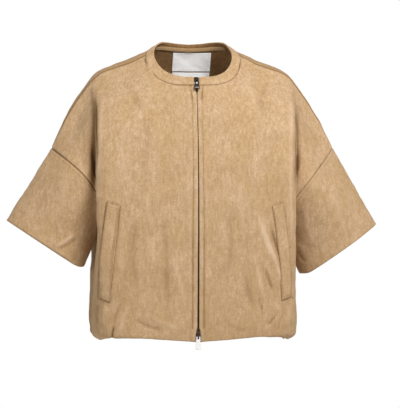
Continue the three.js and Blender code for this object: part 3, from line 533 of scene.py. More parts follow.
LINE = {"depth": 0.85, "width": 1.6}
SEAM = {"depth": 1.2, "width": 1.6, "puff": 0.5, "puff_at": 5.5, "puff_width": 3.0}
FADE = {"share": 0.3, "least": 0.05}
GATHER = {"waves": 62, "height": 1.5, "fade": 46.0, "power": 1.3, "from_x": 150.0, "over": 26.0,
          "front_share": 0.3, "from_y": -50.0, "over_y": 50.0, "finer": 0.5, "wander": 6, "finer_wander": 5}
# How the gathers wander: amount, turns round the hem and start
WANDER = ((0.35, 5, 0.7), (0.25, 9, 2.1))
WANDER_WITH_HEIGHT = {"per_mm": 0.012, "turns": 7}
# General unevenness: height, seed, length and number of waves, and by how much the lengths vary
UNEVEN = ((0.8, 3, 90, 14), (0.45, 8, 38, 14), (0.2, 21, 15, 20))
LENGTHS = (0.7, 1.6)
FACING = {"from": 0.1, "over": 0.5}


def folds_height(spots, folds, scale):
    height = np.zeros(len(spots))
    for peak, left, right, stops in folds:
        gap, side, place = along_path(spots, smooth_path(stops))
        width = np.where(side > 0, left, right)
        fade = np.minimum(*(ease(t / FADE["share"] + FADE["least"]) for t in (place, 1 - place)))
        height += peak * np.exp(-((gap * scale / width) ** 2)) * fade
    return height


def swell(points, seed, length, count):
    """Smooth unevenness of about -1 to 1, with bumps about that long, in mm."""
    rng = np.random.RandomState(seed)
    ways = unit(rng.normal(size=(count, 3)))
    rates = 2 * np.pi / (length * rng.uniform(*LENGTHS, count))
    starts = rng.uniform(0, 2 * np.pi, count)
    return np.sin(points @ (ways * rates[:, None]).T + starts).sum(1) / math.sqrt(count)


def gathers_height(points):
    """Small gathers that the elastic draws into the hem at the sides and across the back."""
    x, y, z = points.T
    turn = np.arctan2(y, x)
    wander = sum(amount * np.sin(turns * turn + start) for amount, turns, start in WANDER)
    wander += WANDER_WITH_HEIGHT["per_mm"] * (z - HEM_Z) * np.sin(WANDER_WITH_HEIGHT["turns"] * turn)
    wave = np.sin(GATHER["waves"] * turn / 2 + GATHER["wander"] * wander)
    wave += GATHER["finer"] * np.sin(GATHER["waves"] * turn + GATHER["finer_wander"] * wander)
    at_sides = GATHER["front_share"] * ease((np.abs(x) - GATHER["from_x"]) / GATHER["over"])
    drawn = np.maximum(at_sides, ease((y - GATHER["from_y"]) / GATHER["over_y"]))
    fade = np.exp(-(np.abs(z - HEM_Z) / GATHER["fade"]) ** GATHER["power"])
    return GATHER["height"] * wave * drawn * fade


def relief(points, normals):
    """Heights of the placed folds and gathers, and of the cloth's general unevenness."""
    facing_front, facing_back = (
        ease((way * normals[:, 1] + FACING["from"]) / FACING["over"]) for way in (-1, 1)
    )
    folds = facing_front * folds_height(to_photo(points), FRONT_FOLDS, PIXEL)
    folds += facing_back * folds_height(points[:, [0, 2]], BACK_FOLDS, 1) + gathers_height(points)
    uneven = sum(height * swell(points, seed, length, count) for height, seed, length, count in UNEVEN)
    return folds, uneven


def sewn_height(points):
    """Grooves along the sewn lines of the fronts."""
    spots = to_photo(points)
    height = np.zeros(len(points))
    for stops in FRONT_LINES:
        gap, _, _ = along_path(spots, smooth_path(stops))
        height = np.minimum(height, -LINE["depth"] * np.exp(-((gap * PIXEL / LINE["width"]) ** 2)))
    return height


def seam_height(distance, strength=1.0):
    groove = -SEAM["depth"] * np.exp(-((distance / SEAM["width"]) ** 2))
    puff = SEAM["puff"] * np.exp(-(((distance - SEAM["puff_at"]) / SEAM["puff_width"]) ** 2))
    return strength * (groove + puff)


def stitched_height(distance, depth=0.5, width=1.2):
    return -depth * np.exp(-((distance / width) ** 2))


def distances(grid, axis):
    """Length along the cloth from a grid's first line, along one of its two directions."""
    steps = np.linalg.norm(np.diff(grid, axis=axis), axis=2)
    pad = [(0, 0), (0, 0)]
    pad[axis] = (1, 0)
    return np.cumsum(np.pad(steps, pad), axis=axis)


def quad_normals(grid, closed):
    """A grid's normals, unscaled, gathered from its faces."""
    wide = np.concatenate([grid, grid[:, :1]], axis=1) if closed else grid
    n = np.cross(wide[1:, 1:] - wide[:-1, :-1], wide[1:, :-1] - wide[:-1, 1:])
    total = np.zeros_like(wide)
    for i, j in ((0, 0), (0, 1), (1, 0), (1, 1)):
        total[i: i + n.shape[0], j: j + n.shape[1]] += n
    if closed:
        total[:, 0] += total[:, -1]
        total = total[:, :-1]
    return total


def share_normals(pieces):
    """Gives every piece its normals, the same ones where two pieces meet."""
    points = np.concatenate([p["grid"].reshape(-1, 3) for p in pieces])
    sums = np.concatenate([
        (p["outward"] * quad_normals(p["grid"], p["closed"])).reshape(-1, 3) for p in pieces
    ])
    _, place = np.unique(np.round(points * 100).astype(np.int64), axis=0, return_inverse=True)
    place = place.ravel()
    total = np.zeros((place.max() + 1, 3))
    np.add.at(total, place, sums)
    normals = unit(total[place])
    start = 0
    for p in pieces:
        count = p["grid"].shape[0] * p["grid"].shape[1]
        p["normal"] = normals[start: start + count].reshape(p["grid"].shape)
        start += count


# Meshes
def link_object(name, data):
    made = bpy.data.objects.new(name, data)
    bpy.context.scene.collection.objects.link(made)
    return made


def add_object(name, vertices, faces, materials=(), face_materials=None, smooth=True, wear_and_shade=None):
    mesh = bpy.data.meshes.new(name)
    mesh.from_pydata((np.asarray(vertices) * MM).tolist(), [], [tuple(f) for f in faces])
    mesh.validate()
    for material in materials:
        mesh.materials.append(material)
    if face_materials is not None:
        mesh.polygons.foreach_set("material_index", np.asarray(face_materials, np.int32))
    mesh.polygons.foreach_set("use_smooth", np.full(len(mesh.polygons), smooth))
    # Per-point painted shade and highlight, partly nap lightened by rubbing, that the suede's colour reads
    if wear_and_shade is not None:
        values = np.asarray(wear_and_shade, np.float32)
        mesh.attributes.new("wear_and_shade", "FLOAT", "POINT").data.foreach_set("value", values)
    mesh.update()
    return link_object(name, mesh)


def border_loops(rows, columns, closed):
    """Index pairs round each free border of a grid."""
    if closed:
        return [[(0, j) for j in range(columns)], [(rows - 1, j) for j in range(columns)]]
    return [
        [(0, j) for j in range(columns)] + [(i, columns - 1) for i in range(1, rows)]
        + [(rows - 1, j) for j in range(columns - 2, -1, -1)] + [(i, 0) for i in range(rows - 2, 0, -1)]
    ]


def outward_at_borders(grid, closed):
    """Directions out of the cloth's edges, in its own surface, zero away from them."""
    out = np.zeros_like(grid)
    out[0] += unit(grid[0] - grid[1])
    out[-1] += unit(grid[-1] - grid[-2])
    if not closed:
        out[:, 0] += unit(grid[:, 0] - grid[:, 1])
        out[:, -1] += unit(grid[:, -1] - grid[:, -2])
    return out


def wall(name, grid, normal, materials, closed=False, outer=WALL / 2, inner=WALL / 2, pull=0.0,
         bulge=0.6, wear_and_shade=None):
    """A closed thin wall on both sides of a grid, with rounded edges. pull draws its borders in."""
    rows, columns = grid.shape[:2]
    out = outward_at_borders(grid, closed)
    middle = grid - out * np.asarray(pull)[..., None]
    outer, inner = (np.broadcast_to(side, (rows, columns)) for side in (outer, inner))
    layers = [middle + normal * outer[..., None], middle - normal * inner[..., None]]
    count = rows * columns
    index = np.arange(count).reshape(rows, columns)
    if closed:
        index = np.concatenate([index, index[:, :1]], axis=1)
    corners = index[:-1, :-1], index[1:, :-1], index[1:, 1:], index[:-1, 1:]
    quads = np.stack(corners, -1).reshape(-1, 4)
    turned = np.einsum("ijk,ijk->", quad_normals(grid, closed), normal) > 0
    facing = quads if turned else quads[:, ::-1]
    vertices = [layer.reshape(-1, 3) for layer in layers]
    # Painted shade and highlight per point, on the outer side and the rims; the inner side gets none
    wear_and_shade = np.zeros((rows, columns)) if wear_and_shade is None else wear_and_shade
    tone_marks = [wear_and_shade.ravel(), 0 * wear_and_shade.ravel()]
    faces = [facing, facing[:, ::-1] + count]
    kinds = [np.zeros(len(quads)), np.ones(len(quads))]
    total = 2 * count
    for loop in border_loops(rows, columns, closed):
        i, j = np.array(loop).T
        edge = middle[i, j] + normal[i, j] * ((outer - inner)[i, j] / 2)[:, None] + out[i, j] * bulge
        vertices.append(edge)
        tone_marks.append(wear_and_shade[i, j])
        over = i * columns + j
        rim = np.arange(len(loop)) + total
        for a, b in ((over, rim), (rim, over + count)):
            faces.append(np.stack([a, b, np.roll(b, -1), np.roll(a, -1)], -1))
            kinds.append(np.zeros(len(loop)))
        total += len(loop)
    piece = add_object(name, np.concatenate(vertices), np.concatenate(faces), materials,
                       np.concatenate(kinds), wear_and_shade=np.concatenate(tone_marks))
    settle_normals(piece)
    return piece


def stack_faces(start, rings, sides):
    """Faces round a stack of rings of vertices, with both ends closed."""
    faces = []
    for r in range(rings - 1):
        for q in range(sides):
            first, second = start + r * sides + q, start + r * sides + (q + 1) % sides
            faces.append((first, second, second + sides, first + sides))
    faces.append(tuple(start + q for q in range(sides - 1, -1, -1)))
    faces.append(tuple(start + (rings - 1) * sides + q for q in range(sides)))
    return faces


def settle_normals(piece):
    """Turns a closed mesh's faces outwards."""
    shape = bmesh.new()
    shape.from_mesh(piece.data)
    bmesh.ops.recalc_face_normals(shape, faces=shape.faces)
    shape.to_mesh(piece.data)
    shape.free()


def at_places(values, i, j, closed=False):
    """Values of a grid between its points, at fractional rows and columns."""
    rows, columns = values.shape[:2]
    i0 = np.clip(np.floor(i).astype(int), 0, rows - 2)
    j0 = np.floor(j).astype(int)
    j0 = j0 % columns if closed else np.clip(j0, 0, columns - 2)
    j1 = (j0 + 1) % columns
    a, b = (i - i0)[:, None], (j - np.floor(j) if closed else j - j0)[:, None]
    return (
        values[i0, j0] * (1 - a) * (1 - b) + values[i0 + 1, j0] * a * (1 - b)
        + values[i0, j1] * (1 - a) * b + values[i0 + 1, j1] * a * b
    )


def dress(piece, stands_for=None, body="jacket"):
    """Puts a piece on its body, and hides the solid in whose place it stands."""
    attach(piece, body)
    if stands_for:
        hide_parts(stands_for)
    return piece


# Materials
def linear(*rgb):
    """A screen colour, 0 to 255, as a shader takes it."""
    share = np.array(rgb, float) / 255
    return (*np.where(share <= 0.04045, share / 12.92, ((share + 0.055) / 1.055) ** 2.4), 1)


class Shader:
    """Builds one material's nodes."""

    def __init__(self, name):
        self.material = bpy.data.materials.new(name)
        self.material.use_nodes = True
        self.tree = self.material.node_tree
        self.surface = self.tree.nodes["Principled BSDF"]
        self.place = self.node("ShaderNodeTexCoord").outputs["Object"]

    def node(self, kind, **settings):
        made = self.tree.nodes.new(kind)
        for key, value in settings.items():
            if key in made.inputs:
                made.inputs[key].default_value = value
            else:
                setattr(made, key, value)
        return made

    def feed(self, value, socket):
        """Gives a socket another node's output, or a plain value."""
        if isinstance(value, bpy.types.NodeSocket):
            self.tree.links.new(value, socket)
        else:
            socket.default_value = value

    def set(self, **values):
        for key, value in values.items():
            self.surface.inputs[key.replace("_", " ")].default_value = value

    def stretched(self, scale):
        mapping = self.node("ShaderNodeMapping")
        mapping.inputs["Scale"].default_value = scale
        self.feed(self.place, mapping.inputs["Vector"])
        return mapping.outputs["Vector"]

    def noise(self, size_mm, detail=3.0, rough=0.5, stretch=(1, 1, 1), distortion=0.0):
        made = self.node("ShaderNodeTexNoise", Detail=detail, Roughness=rough, Distortion=distortion)
        made.inputs["Scale"].default_value = 1000 / size_mm
        self.feed(self.stretched(stretch), made.inputs["Vector"])
        return made.outputs["Fac"]

    def ramp(self, value, low, high, out_low=0.0, out_high=1.0):
        made = self.node("ShaderNodeMapRange")
        made.interpolation_type = "SMOOTHSTEP"
        for key, number in (("From Min", low), ("From Max", high), ("To Min", out_low), ("To Max", out_high)):
            made.inputs[key].default_value = number
        self.feed(value, made.inputs["Value"])
        return made.outputs["Result"]

    def blend(self, share, a, b):
        made = self.node("ShaderNodeMix", data_type="RGBA")
        for value, socket in ((share, 0), (a, 6), (b, 7)):
            self.feed(value, made.inputs[socket])
        return made.outputs[2]

    def math(self, operation, a, b):
        made = self.node("ShaderNodeMath", operation=operation)
        self.feed(a, made.inputs[0])
        self.feed(b, made.inputs[1])
        return made.outputs[0]

    def bump(self, height, distance_mm, strength=1.0, under=None):
        made = self.node("ShaderNodeBump", Strength=strength)
        made.inputs["Distance"].default_value = distance_mm * MM
        self.feed(height, made.inputs["Height"])
        if under is not None:
            self.feed(under, made.inputs["Normal"])
        return made.outputs["Normal"]


# Noises of the nap: size in mm, detail, roughness, stretch down the cloth, distortion, the ramp's two ends
NAP = {
    "patches": (40, 4, 0.6, 0.5, 0.6, 0.36, 0.64), "brushed": (8, 4, 0.65, 0.5, 0.3, 0.36, 0.66),
    "streaks": (4.4, 4, 0.65, 0.24, 0.2, 0.38, 0.66), "flecks": (3.6, 3, 0.75, 0.8, 0.0, 0.48, 0.66),
}
# How much each changes the colour
SHARE = {"patches": 0.6, "brushed": 0.34, "streaks": 0.46, "flecks": 0.46, "grain": 0.5, "settled": 0.22,
         "rubbed_and_highlight": 0.7, "crease_shade": 0.85}
GRAIN = {"size": 2.4, "detail": 3, "rough": 0.8, "low": 0.38, "high": 0.64}
# Painted shade: the suede darkens lower down, between these heights in metres
LOWER_SHADE_FROM, LOWER_SHADE_TO = -0.1, -0.5
NAP_ROUGHNESS = (0.86, 0.98)
# The warm colour of the painted shade in creases and grooves
PAINTED_CREASE_SHADE = linear(114, 81, 46)
SHEEN_TINT = linear(236, 216, 190)


def suede(name, light, middle, dark, sheen):
    """Short napped suede: brushed patches, downward streaks, dark flecks and a fine grain, with painted shade
    darker lower down, ridges lighter as nap lightened by rubbing and as painted highlight, and painted shade
    in creases and seam grooves."""
    s = Shader(name)
    patches, brushed, streaks, flecks = (
        s.ramp(s.noise(size, detail, rough, (1, 1, down), distortion), low, high)
        for size, detail, rough, down, distortion, low, high in NAP.values()
    )
    grain = s.noise(GRAIN["size"], GRAIN["detail"], GRAIN["rough"])
    lower = s.node("ShaderNodeSeparateXYZ")
    s.feed(s.place, lower.inputs["Vector"])
    colour = s.blend(s.math("MULTIPLY", patches, SHARE["patches"]), middle, light)
    # Painted shade, darker lower down the jacket
    settled = s.ramp(lower.outputs["Z"], LOWER_SHADE_FROM, LOWER_SHADE_TO, 0.0, SHARE["settled"])
    colour = s.blend(settled, colour, dark)
    unbrushed = s.math("SUBTRACT", 1.0, brushed)
    for amount, part in ((unbrushed, "brushed"), (streaks, "streaks"), (flecks, "flecks")):
        colour = s.blend(s.math("MULTIPLY", amount, SHARE[part]), colour, dark)
    colour = s.blend(s.ramp(grain, GRAIN["low"], GRAIN["high"], 0.0, SHARE["grain"]), colour, dark)
    # Painted shade and highlight from the per-point marks: lighter on ridges and puffs, partly nap lightened
    # by rubbing and partly painted highlight, and the warm shade colour in creases and grooves
    wear_and_shade = s.node("ShaderNodeAttribute", attribute_name="wear_and_shade").outputs["Fac"]
    colour = s.blend(s.ramp(wear_and_shade, 0.0, 1.0, 0.0, SHARE["rubbed_and_highlight"]), colour, light)
    colour = s.blend(s.ramp(wear_and_shade, 0.0, -1.0, 0.0, SHARE["crease_shade"]), colour, PAINTED_CREASE_SHADE)
    s.feed(colour, s.surface.inputs["Base Color"])
    s.feed(s.ramp(brushed, 0, 1, *NAP_ROUGHNESS), s.surface.inputs["Roughness"])
    s.set(Specular_IOR_Level=0.12, Sheen_Weight=sheen, Sheen_Roughness=0.45, Sheen_Tint=SHEEN_TINT)
    waves = s.noise(8, detail=4, rough=0.62, stretch=(1, 1, 0.5), distortion=0.4)
    soft = s.bump(waves, distance_mm=0.9, strength=0.7)
    s.feed(s.bump(grain, distance_mm=0.4, strength=0.6, under=soft), s.surface.inputs["Normal"])
    return s.material


TURN = 6.2832
WOVEN_SHADE = {"uneven": 0.5, "threads": 0.3}


def woven(name, base, shade, pitch_mm, satin=0.0, roughness=0.85):
    """A plain narrow weave: threads across and along."""
    s = Shader(name)
    waves = []
    for direction in ("X", "Z"):
        wave = s.node("ShaderNodeTexWave", bands_direction=direction, Distortion=0.6, Detail=1.0)
        wave.inputs["Scale"].default_value = 1000 / pitch_mm / TURN * 2
        s.feed(s.place, wave.inputs["Vector"])
        waves.append(wave.outputs["Fac"])
    threads = s.math("MULTIPLY", waves[0], waves[1])
    colour = s.blend(s.ramp(s.noise(6, 3, 0.6), 0.3, 0.7, 0.0, WOVEN_SHADE["uneven"]), base, shade)
    colour = s.blend(s.math("MULTIPLY", threads, WOVEN_SHADE["threads"]), colour, shade)
    s.feed(colour, s.surface.inputs["Base Color"])
    s.set(Roughness=roughness, Specular_IOR_Level=0.2 + satin, Sheen_Weight=0.15)
    s.feed(s.bump(threads, distance_mm=0.15, strength=0.7), s.surface.inputs["Normal"])
    return s.material


def metal(name, base, dull, roughness, metallic=1.0):
    s = Shader(name)
    tone_marks = s.noise(1.8, 4, 0.7)
    s.feed(s.blend(s.ramp(tone_marks, 0.4, 0.7), base, dull), s.surface.inputs["Base Color"])
    s.feed(s.ramp(tone_marks, 0.3, 0.7, roughness * 0.8, roughness * 1.3), s.surface.inputs["Roughness"])
    s.set(Metallic=metallic)
    s.feed(s.bump(s.noise(0.5, 2), distance_mm=0.03, strength=0.4), s.surface.inputs["Normal"])
    return s.material


# A faint glow that lights the labels inside the neck: painted light
LABEL_PAINTED_GLOW = 0.19
SUEDE = suede("suede", linear(221, 191, 161), linear(204, 172, 132), linear(164, 130, 90), 0.22)
# A darker copy of the suede for the back panel: painted shade
SUEDE_BACK_SHADED = suede("suede_back_shaded", linear(198, 164, 125), linear(184, 150, 110), linear(150, 117, 79), 0.2)
# A darker copy of the suede for the inner side and the hem casing: painted shade of the inside
SUEDE_INSIDE_SHADED = suede("suede_inside_shaded", linear(176, 138, 95), linear(158, 121, 80), linear(128, 94, 58), 0.1)
THREAD = woven("thread", linear(150, 116, 78), linear(128, 97, 62), 0.5)
TAPE_CLOTH = woven("zip_tape_cloth", linear(160, 126, 84), linear(126, 96, 62), 0.7)
NECK_CLOTH = woven("neck_tape_cloth", linear(182, 148, 106), linear(150, 117, 78), 0.9)
LABEL_CLOTH = woven("label_cloth", linear(255, 254, 253), linear(248, 247, 245), 0.45, 0.2, 0.5)
LABEL_SURFACE = LABEL_CLOTH.node_tree.nodes["Principled BSDF"]
# The labels' glow is painted light; they are no lamp
LABEL_SURFACE.inputs["Emission Color"].default_value = linear(255, 252, 248)
LABEL_SURFACE.inputs["Emission Strength"].default_value = LABEL_PAINTED_GLOW
GUNMETAL = metal("gunmetal", linear(84, 75, 68), linear(46, 39, 34), 0.34)
BRIGHT = metal("bright_metal", linear(252, 251, 249), linear(238, 236, 233), 0.3, 0.25)
RUBBED = metal("rubbed_metal", linear(190, 182, 172), linear(150, 140, 130), 0.3, 0.8)


# The suede shell
# How folds, seams and unevenness turn into painted shade and highlight: a fold this high gives the full
# amount
WEAR_AND_SHADE = {"height": 2.8, "uneven": 0.08}
NECK_SEAM, UNDERARM_SEAM = 0.42, 0.7
ARMHOLE_SEAM = {"left": 0.4, "right": 0.65}
PLACKET = {"stitch": 8.4, "depth": 0.9, "width": 1.5, "edge": 0.4, "edge_width": 5}
ARMHOLE_STITCH = {"at": 6.0, "depth": 0.4}
SEAM_PULL, EDGE_PULL = 0.6, -0.25
HEM_TURN = {"height": 24.0, "extra": 1.1}
RIM_TURN = {"height": 6.0, "extra": 0.8}
TURN_BLEND = 2.5


def shell_pieces():
    fronts = {side: front_grid(side) for side in FRONT}
    backs = {side: BACK[side].grid(STATIONS, BACK_DOWNS) for side in BACK}
    (left, under), (right, _) = (sleeve_grid(fronts[side], backs[side], CUFFS[side]) for side in CUFFS)
    back = np.concatenate([mirrored(backs["right"][:, :0:-1]), backs["left"]], axis=1)
    pieces = [
        {"name": name, "grid": grid, "outward": outward, "closed": name.startswith("sleeve")}
        for name, grid, outward in (
            ("front_left", fronts["left"], -1), ("front_right", mirrored(fronts["right"]), 1),
            ("back", back, 1), ("neck_band", band_grid(), 1),
            ("sleeve_left", left, 1), ("sleeve_right", mirrored(right), -1),
        )
    ]
    share_normals(pieces)
    for p in pieces:
        grid, side = p["grid"], p["name"].split("_")[-1]
        shape = grid.shape[:2]
        folds, uneven = (h.reshape(shape) for h in relief(grid.reshape(-1, 3), p["normal"].reshape(-1, 3)))
        down, across = distances(grid, 0), distances(grid, 1)
        if p["name"].startswith("front"):
            seams = seam_height(down, NECK_SEAM) + seam_height(across[:, -1:] - across, ARMHOLE_SEAM[side])
            seams += (stitched_height(across - PLACKET["stitch"], PLACKET["depth"], PLACKET["width"])
                      + PLACKET["edge"] * np.exp(-((across / PLACKET["edge_width"]) ** 2)))
            seams += sewn_height(grid.reshape(-1, 3)).reshape(shape)
        elif p["name"] == "back":
            seams = seam_height(down) + seam_height(across) + seam_height(across[:, -1:] - across)
        elif p["name"] == "neck_band":
            seams = seam_height(down, NECK_SEAM)
        else:
            ring = distances(np.concatenate([grid, grid[:, :1]], axis=1), 1)[:, :-1]
            seams = seam_height(down, ARMHOLE_SEAM[side])
            seams = seams + seam_height(np.abs(ring - ring[:, under: under + 1]), UNDERARM_SEAM)
            seams += stitched_height(down - ARMHOLE_STITCH["at"], ARMHOLE_STITCH["depth"])
        # Painted shade in creases, dips, seam grooves and sewn lines, and ridges and puffs lighter as nap
        # lightened by rubbing and as painted highlight, kept per point for the suede's colour
        p["wear_and_shade"] = np.clip(folds / WEAR_AND_SHADE["height"] + seams / SEAM["depth"] + WEAR_AND_SHADE["uneven"] * uneven, -1, 1)
        p["grid"] = grid + p["normal"] * (folds + uneven + seams)[..., None]
    share_normals(pieces)
    return {p["name"]: p for p in pieces}


def turned_edge(distance, turn):
    """The cloth's extra thickness inside an edge that is turned in."""
    return turn["extra"] * ease((turn["height"] - distance) / TURN_BLEND + 0.5)


def build_shell():
    made = {}
    for name, p in SHELL.items():
        down = distances(p["grid"], 0)
        inner = WALL / 2 + turned_edge(down[-1:] - down, RIM_TURN if name == "neck_band" else HEM_TURN)
        pull = np.zeros(down.shape)
        pull[0] = SEAM_PULL
        if name == "back" or name.startswith("front"):
            pull[:, -1] = SEAM_PULL
            pull[:, 0] = SEAM_PULL if name == "back" else EDGE_PULL
        # The back and the inner side take darker copies of the suede, as painted shade
        cloths = [SUEDE_BACK_SHADED if name == "back" else SUEDE, SUEDE_INSIDE_SHADED]
        piece = wall(name + "_suede", p["grid"], p["normal"], cloths, p["closed"],
                     inner=inner, pull=pull, wear_and_shade=p["wear_and_shade"])
        made[name] = dress(piece, name)
    return made


SHELL = shell_pieces()
CLOTH = build_shell()


# Trim that lies on the shell
def find_on(panel, x, z):
    """u and at of the places on a half panel that show at x and z in front view."""
    x, z = np.asarray(x, float), np.asarray(z, float)
    du, da, tries = 0.002, 0.5, 14
    u = x / TOP_X["fold"] * COLUMN_U[FOLD_COLUMN]
    at = np.maximum(-z, panel.knots[0] + da)
    for _ in range(tries):
        p = panel.point(u, at)
        pu, pa = (panel.point(u + du, at) - p) / du, (panel.point(u, at + da) - p) / da
        det = pu[:, 0] * pa[:, 2] - pa[:, 0] * pu[:, 2]
        ex, ez = x - p[:, 0], z - p[:, 2]
        u = np.clip(u + (ex * pa[:, 2] - ez * pa[:, 0]) / det, 0, 1)
        at = np.maximum(at + (ez * pu[:, 0] - ex * pu[:, 2]) / det, panel.knots[0])
    return u, at


def on_shell(piece, panel, downs, x, z, middle=0, way=1):
    """Points and normals of a shell piece at x and z in front view."""
    u, at = find_on(panel, np.abs(x), z)
    i = np.interp(at, downs, np.arange(len(downs)))
    j = middle + way * np.interp(u, STATIONS, np.arange(len(STATIONS)))
    p = SHELL[piece]
    return at_places(p["grid"], i, j), unit(at_places(p["normal"], i, j))


def on_front(x, z, name):
    """The same on the left or right front, at x from the zip."""
    return on_shell("front_" + name, FRONT[name], FRONT_DOWNS, x, z)


def on_back(x, z):
    """The same on the back, at any x."""
    return on_shell("back", BACK["left"], BACK_DOWNS, x, z, len(STATIONS) - 1, np.sign(x))


STITCH = {"radius": 0.32, "length": 2.1, "pitch": 3.0, "sides": 6}
# Places along a stitch, from its middle, and its thickness there
STITCH_PROFILE = ((-0.5, 0.25), (-0.3, 0.95), (0.3, 0.95), (0.5, 0.25))


def stitch_mesh(lines, radius=STITCH["radius"], length=STITCH["length"], pitch=STITCH["pitch"], sink=0.0):
    """Vertices and faces of short stitches along lines of points with normals."""
    vertices, faces = [], []
    for points, normals in lines:
        lengths = np.concatenate([[0], np.cumsum(np.linalg.norm(np.diff(points, axis=0), axis=1))])
        count = max(int(lengths[-1] / pitch), 1)
        for k in range(count):
            s = (k + 0.5) * lengths[-1] / count
            ends = np.array([s - length / 2, s + length / 2])
            a, b = np.stack([np.interp(ends, lengths, points[:, c]) for c in range(3)], -1)
            n = unit(np.array([np.interp(s, lengths, normals[:, c]) for c in range(3)]))
            side = unit(np.cross(unit(b - a), n))
            faces += stack_faces(len(vertices), len(STITCH_PROFILE), STITCH["sides"])
            for share, wide in STITCH_PROFILE:
                ring = mix(a, b, share + 0.5)
                for q in range(STITCH["sides"]):
                    turn = 2 * math.pi * q / STITCH["sides"]
                    round_it = math.cos(turn) * side + math.sin(turn) * n
                    vertices.append(ring + radius * wide * round_it - n * sink)
    return np.array(vertices), faces


def add_stitches(name, lines, material=THREAD, **options):
    piece = add_object(name, *stitch_mesh(lines, **options), materials=[material])
    settle_normals(piece)
    return dress(piece)


def grid_line(piece, rows, distance, axis=1):
    """A line on a shell piece, at a given distance from its first line, with normals."""
    p = SHELL[piece]
    grid, normal = (v if axis == 1 else v.transpose(1, 0, 2) for v in (p["grid"], p["normal"]))
    places = np.array([np.interp(distance, row, np.arange(len(row))) for row in distances(grid, 1)])
    i, j = rows.astype(float), places[rows]
    normals = unit(at_places(normal, i, j))
    return at_places(grid, i, j) + normals * (WALL / 2), normals


def add_trim(name, middle, normal, material, thick, bulge, stands_for):
    """A thin strip or patch of one cloth."""
    piece = wall(name, middle, normal, [material, material], outer=thick / 2, inner=thick / 2, bulge=bulge)
    return dress(piece, stands_for)


WELT_FINE = {"steps": 60, "across": 12}
# The welt's outer edge is the pocket's mouth and stands a little open between its sewn ends
LIP = {"height": 1.8, "along": 0.7, "across": 2.5}
WELT_PAD = {"height": 0.5, "power": 0.5}
# Per-point marks of the welt: its middle a little lighter as painted highlight, its edges in painted shade,
# fading over these shares across and along
WELT_WEAR_AND_SHADE = {"middle": 0.15, "edge": 0.6, "across": 10, "along": 60}
WELT_STITCH = {"pitch": 2.6, "length": 1.9}


def welt_grid(name):
    stations = (np.linspace(0, 1, WELT_FINE[way] + 1) for way in ("steps", "across"))
    share, over = np.meshgrid(*stations, indexing="ij")
    start, end = (mix(*np.array(WELTS[name][row], float), over[..., None]) for row in ("top", "bottom"))
    spot = mix(start, end, share[..., None])
    spot[..., 0] += WELT["bow"] * np.sin(np.pi * share)
    points, normals = on_front(spot[..., 0].ravel(), spot[..., 1].ravel(), name)
    return points.reshape(*share.shape, 3), normals.reshape(*share.shape, 3), share, over


def add_welts():
    for name in WELTS:
        points, normals, share, over = welt_grid(name)
        lip = LIP["height"] * np.sin(np.pi * share) ** LIP["along"] * over ** LIP["across"]
        pad = WELT_PAD["height"] * np.sin(np.pi * over) ** WELT_PAD["power"]
        rise = (WALL / 2 + LIFT + lip)[..., None]
        middle = points + normals * (rise + WELT["wall"] / 2)
        outer = WELT["wall"] / 2 + pad
        # The welt's edges darken as painted shade
        edges = np.minimum(np.minimum(over, 1 - over) * WELT_WEAR_AND_SHADE["across"],
                           np.minimum(share, 1 - share) * WELT_WEAR_AND_SHADE["along"])
        wear_and_shade = WELT_WEAR_AND_SHADE["middle"] - WELT_WEAR_AND_SHADE["edge"] * np.exp(-(edges**2))
        piece = wall(f"pocket_welt_{name}_suede", middle, normals, [SUEDE, SUEDE],
                     outer=outer, inner=WELT["wall"] / 2, bulge=0.5, wear_and_shade=wear_and_shade)
        dress(piece, f"pocket_welt_{name}")
        top = middle + normals * outer[..., None]
        ends = [(top[row, 1:-1], normals[row, 1:-1]) for row in (2, -3)]
        add_stitches(f"pocket_stitches_{name}", [(top[2:-2, 1], normals[2:-2, 1]), *ends], **WELT_STITCH)


TAPE_FINE = {"rows": 160, "across": 8}
TAPE_BEHIND = HEM_TURN["extra"] + 0.8


def add_zip_tapes():
    for name, side in (("left", 1), ("right", -1)):
        z = np.linspace(TAPE["top"], TAPE["bottom"], TAPE_FINE["rows"] + 1)
        i = np.interp(-z, -SHELL["front_left"]["grid"][:, 0, 2], np.arange(len(FRONT_DOWNS)))
        p = SHELL[f"front_{name}"]
        start, turn = (at_places(p[values], i, np.zeros_like(i)) for values in ("grid", "normal"))
        x = np.linspace(TAPE["inner"], TAPE["outer"], TAPE_FINE["across"] + 1)
        grid = np.repeat(start[:, None], len(x), axis=1)
        grid[..., 0] = side * x
        normal = np.repeat(unit(turn)[:, None], len(x), axis=1)
        middle = grid - normal * (WALL / 2 + TAPE_BEHIND)
        piece = add_trim(f"zip_tape_{name}_cloth", middle, normal, TAPE_CLOTH, TAPE["wall"], 0.2,
                         f"zip_tape_{name}")


NECK_TAPE_FINE = {"columns": 40, "rows": 10}
NECK_TAPE_STAND = TRIM_LIFT + 0.9


def add_neck_tape():
    half = np.linspace(NECK_TAPE["from_deg"], 180, NECK_TAPE_FINE["columns"] + 1)
    rows = []
    for share in np.linspace(-NECK_TAPE["on_band"], 1, NECK_TAPE_FINE["rows"] + 1):
        if share <= 0:
            line = mix(seam_points(half), rim_points(half), -share)
        else:
            u = NECK_U * (180 - half) / (180 - SHOULDER_DEG)
            down = BACK["left"].knots[0] + NECK_TAPE["on_back"] * share
            line = BACK["left"].point(u, np.full_like(u, down))
        rows.append(np.vstack([line, mirrored(line[:-1][::-1])]))
    grid = np.array(rows)
    normal = unit(-quad_normals(grid, False))
    normal *= np.sign(np.einsum("ijk,ijk->", normal, vectors(0 * grid[..., 0], -1, 0)))
    middle = grid + normal * (WALL / 2 + NECK_TAPE_STAND)
    piece = add_trim("neck_tape_cloth_piece", middle, normal, NECK_CLOTH, NECK_TAPE["wall"], 0.3,
                     "neck_tape")


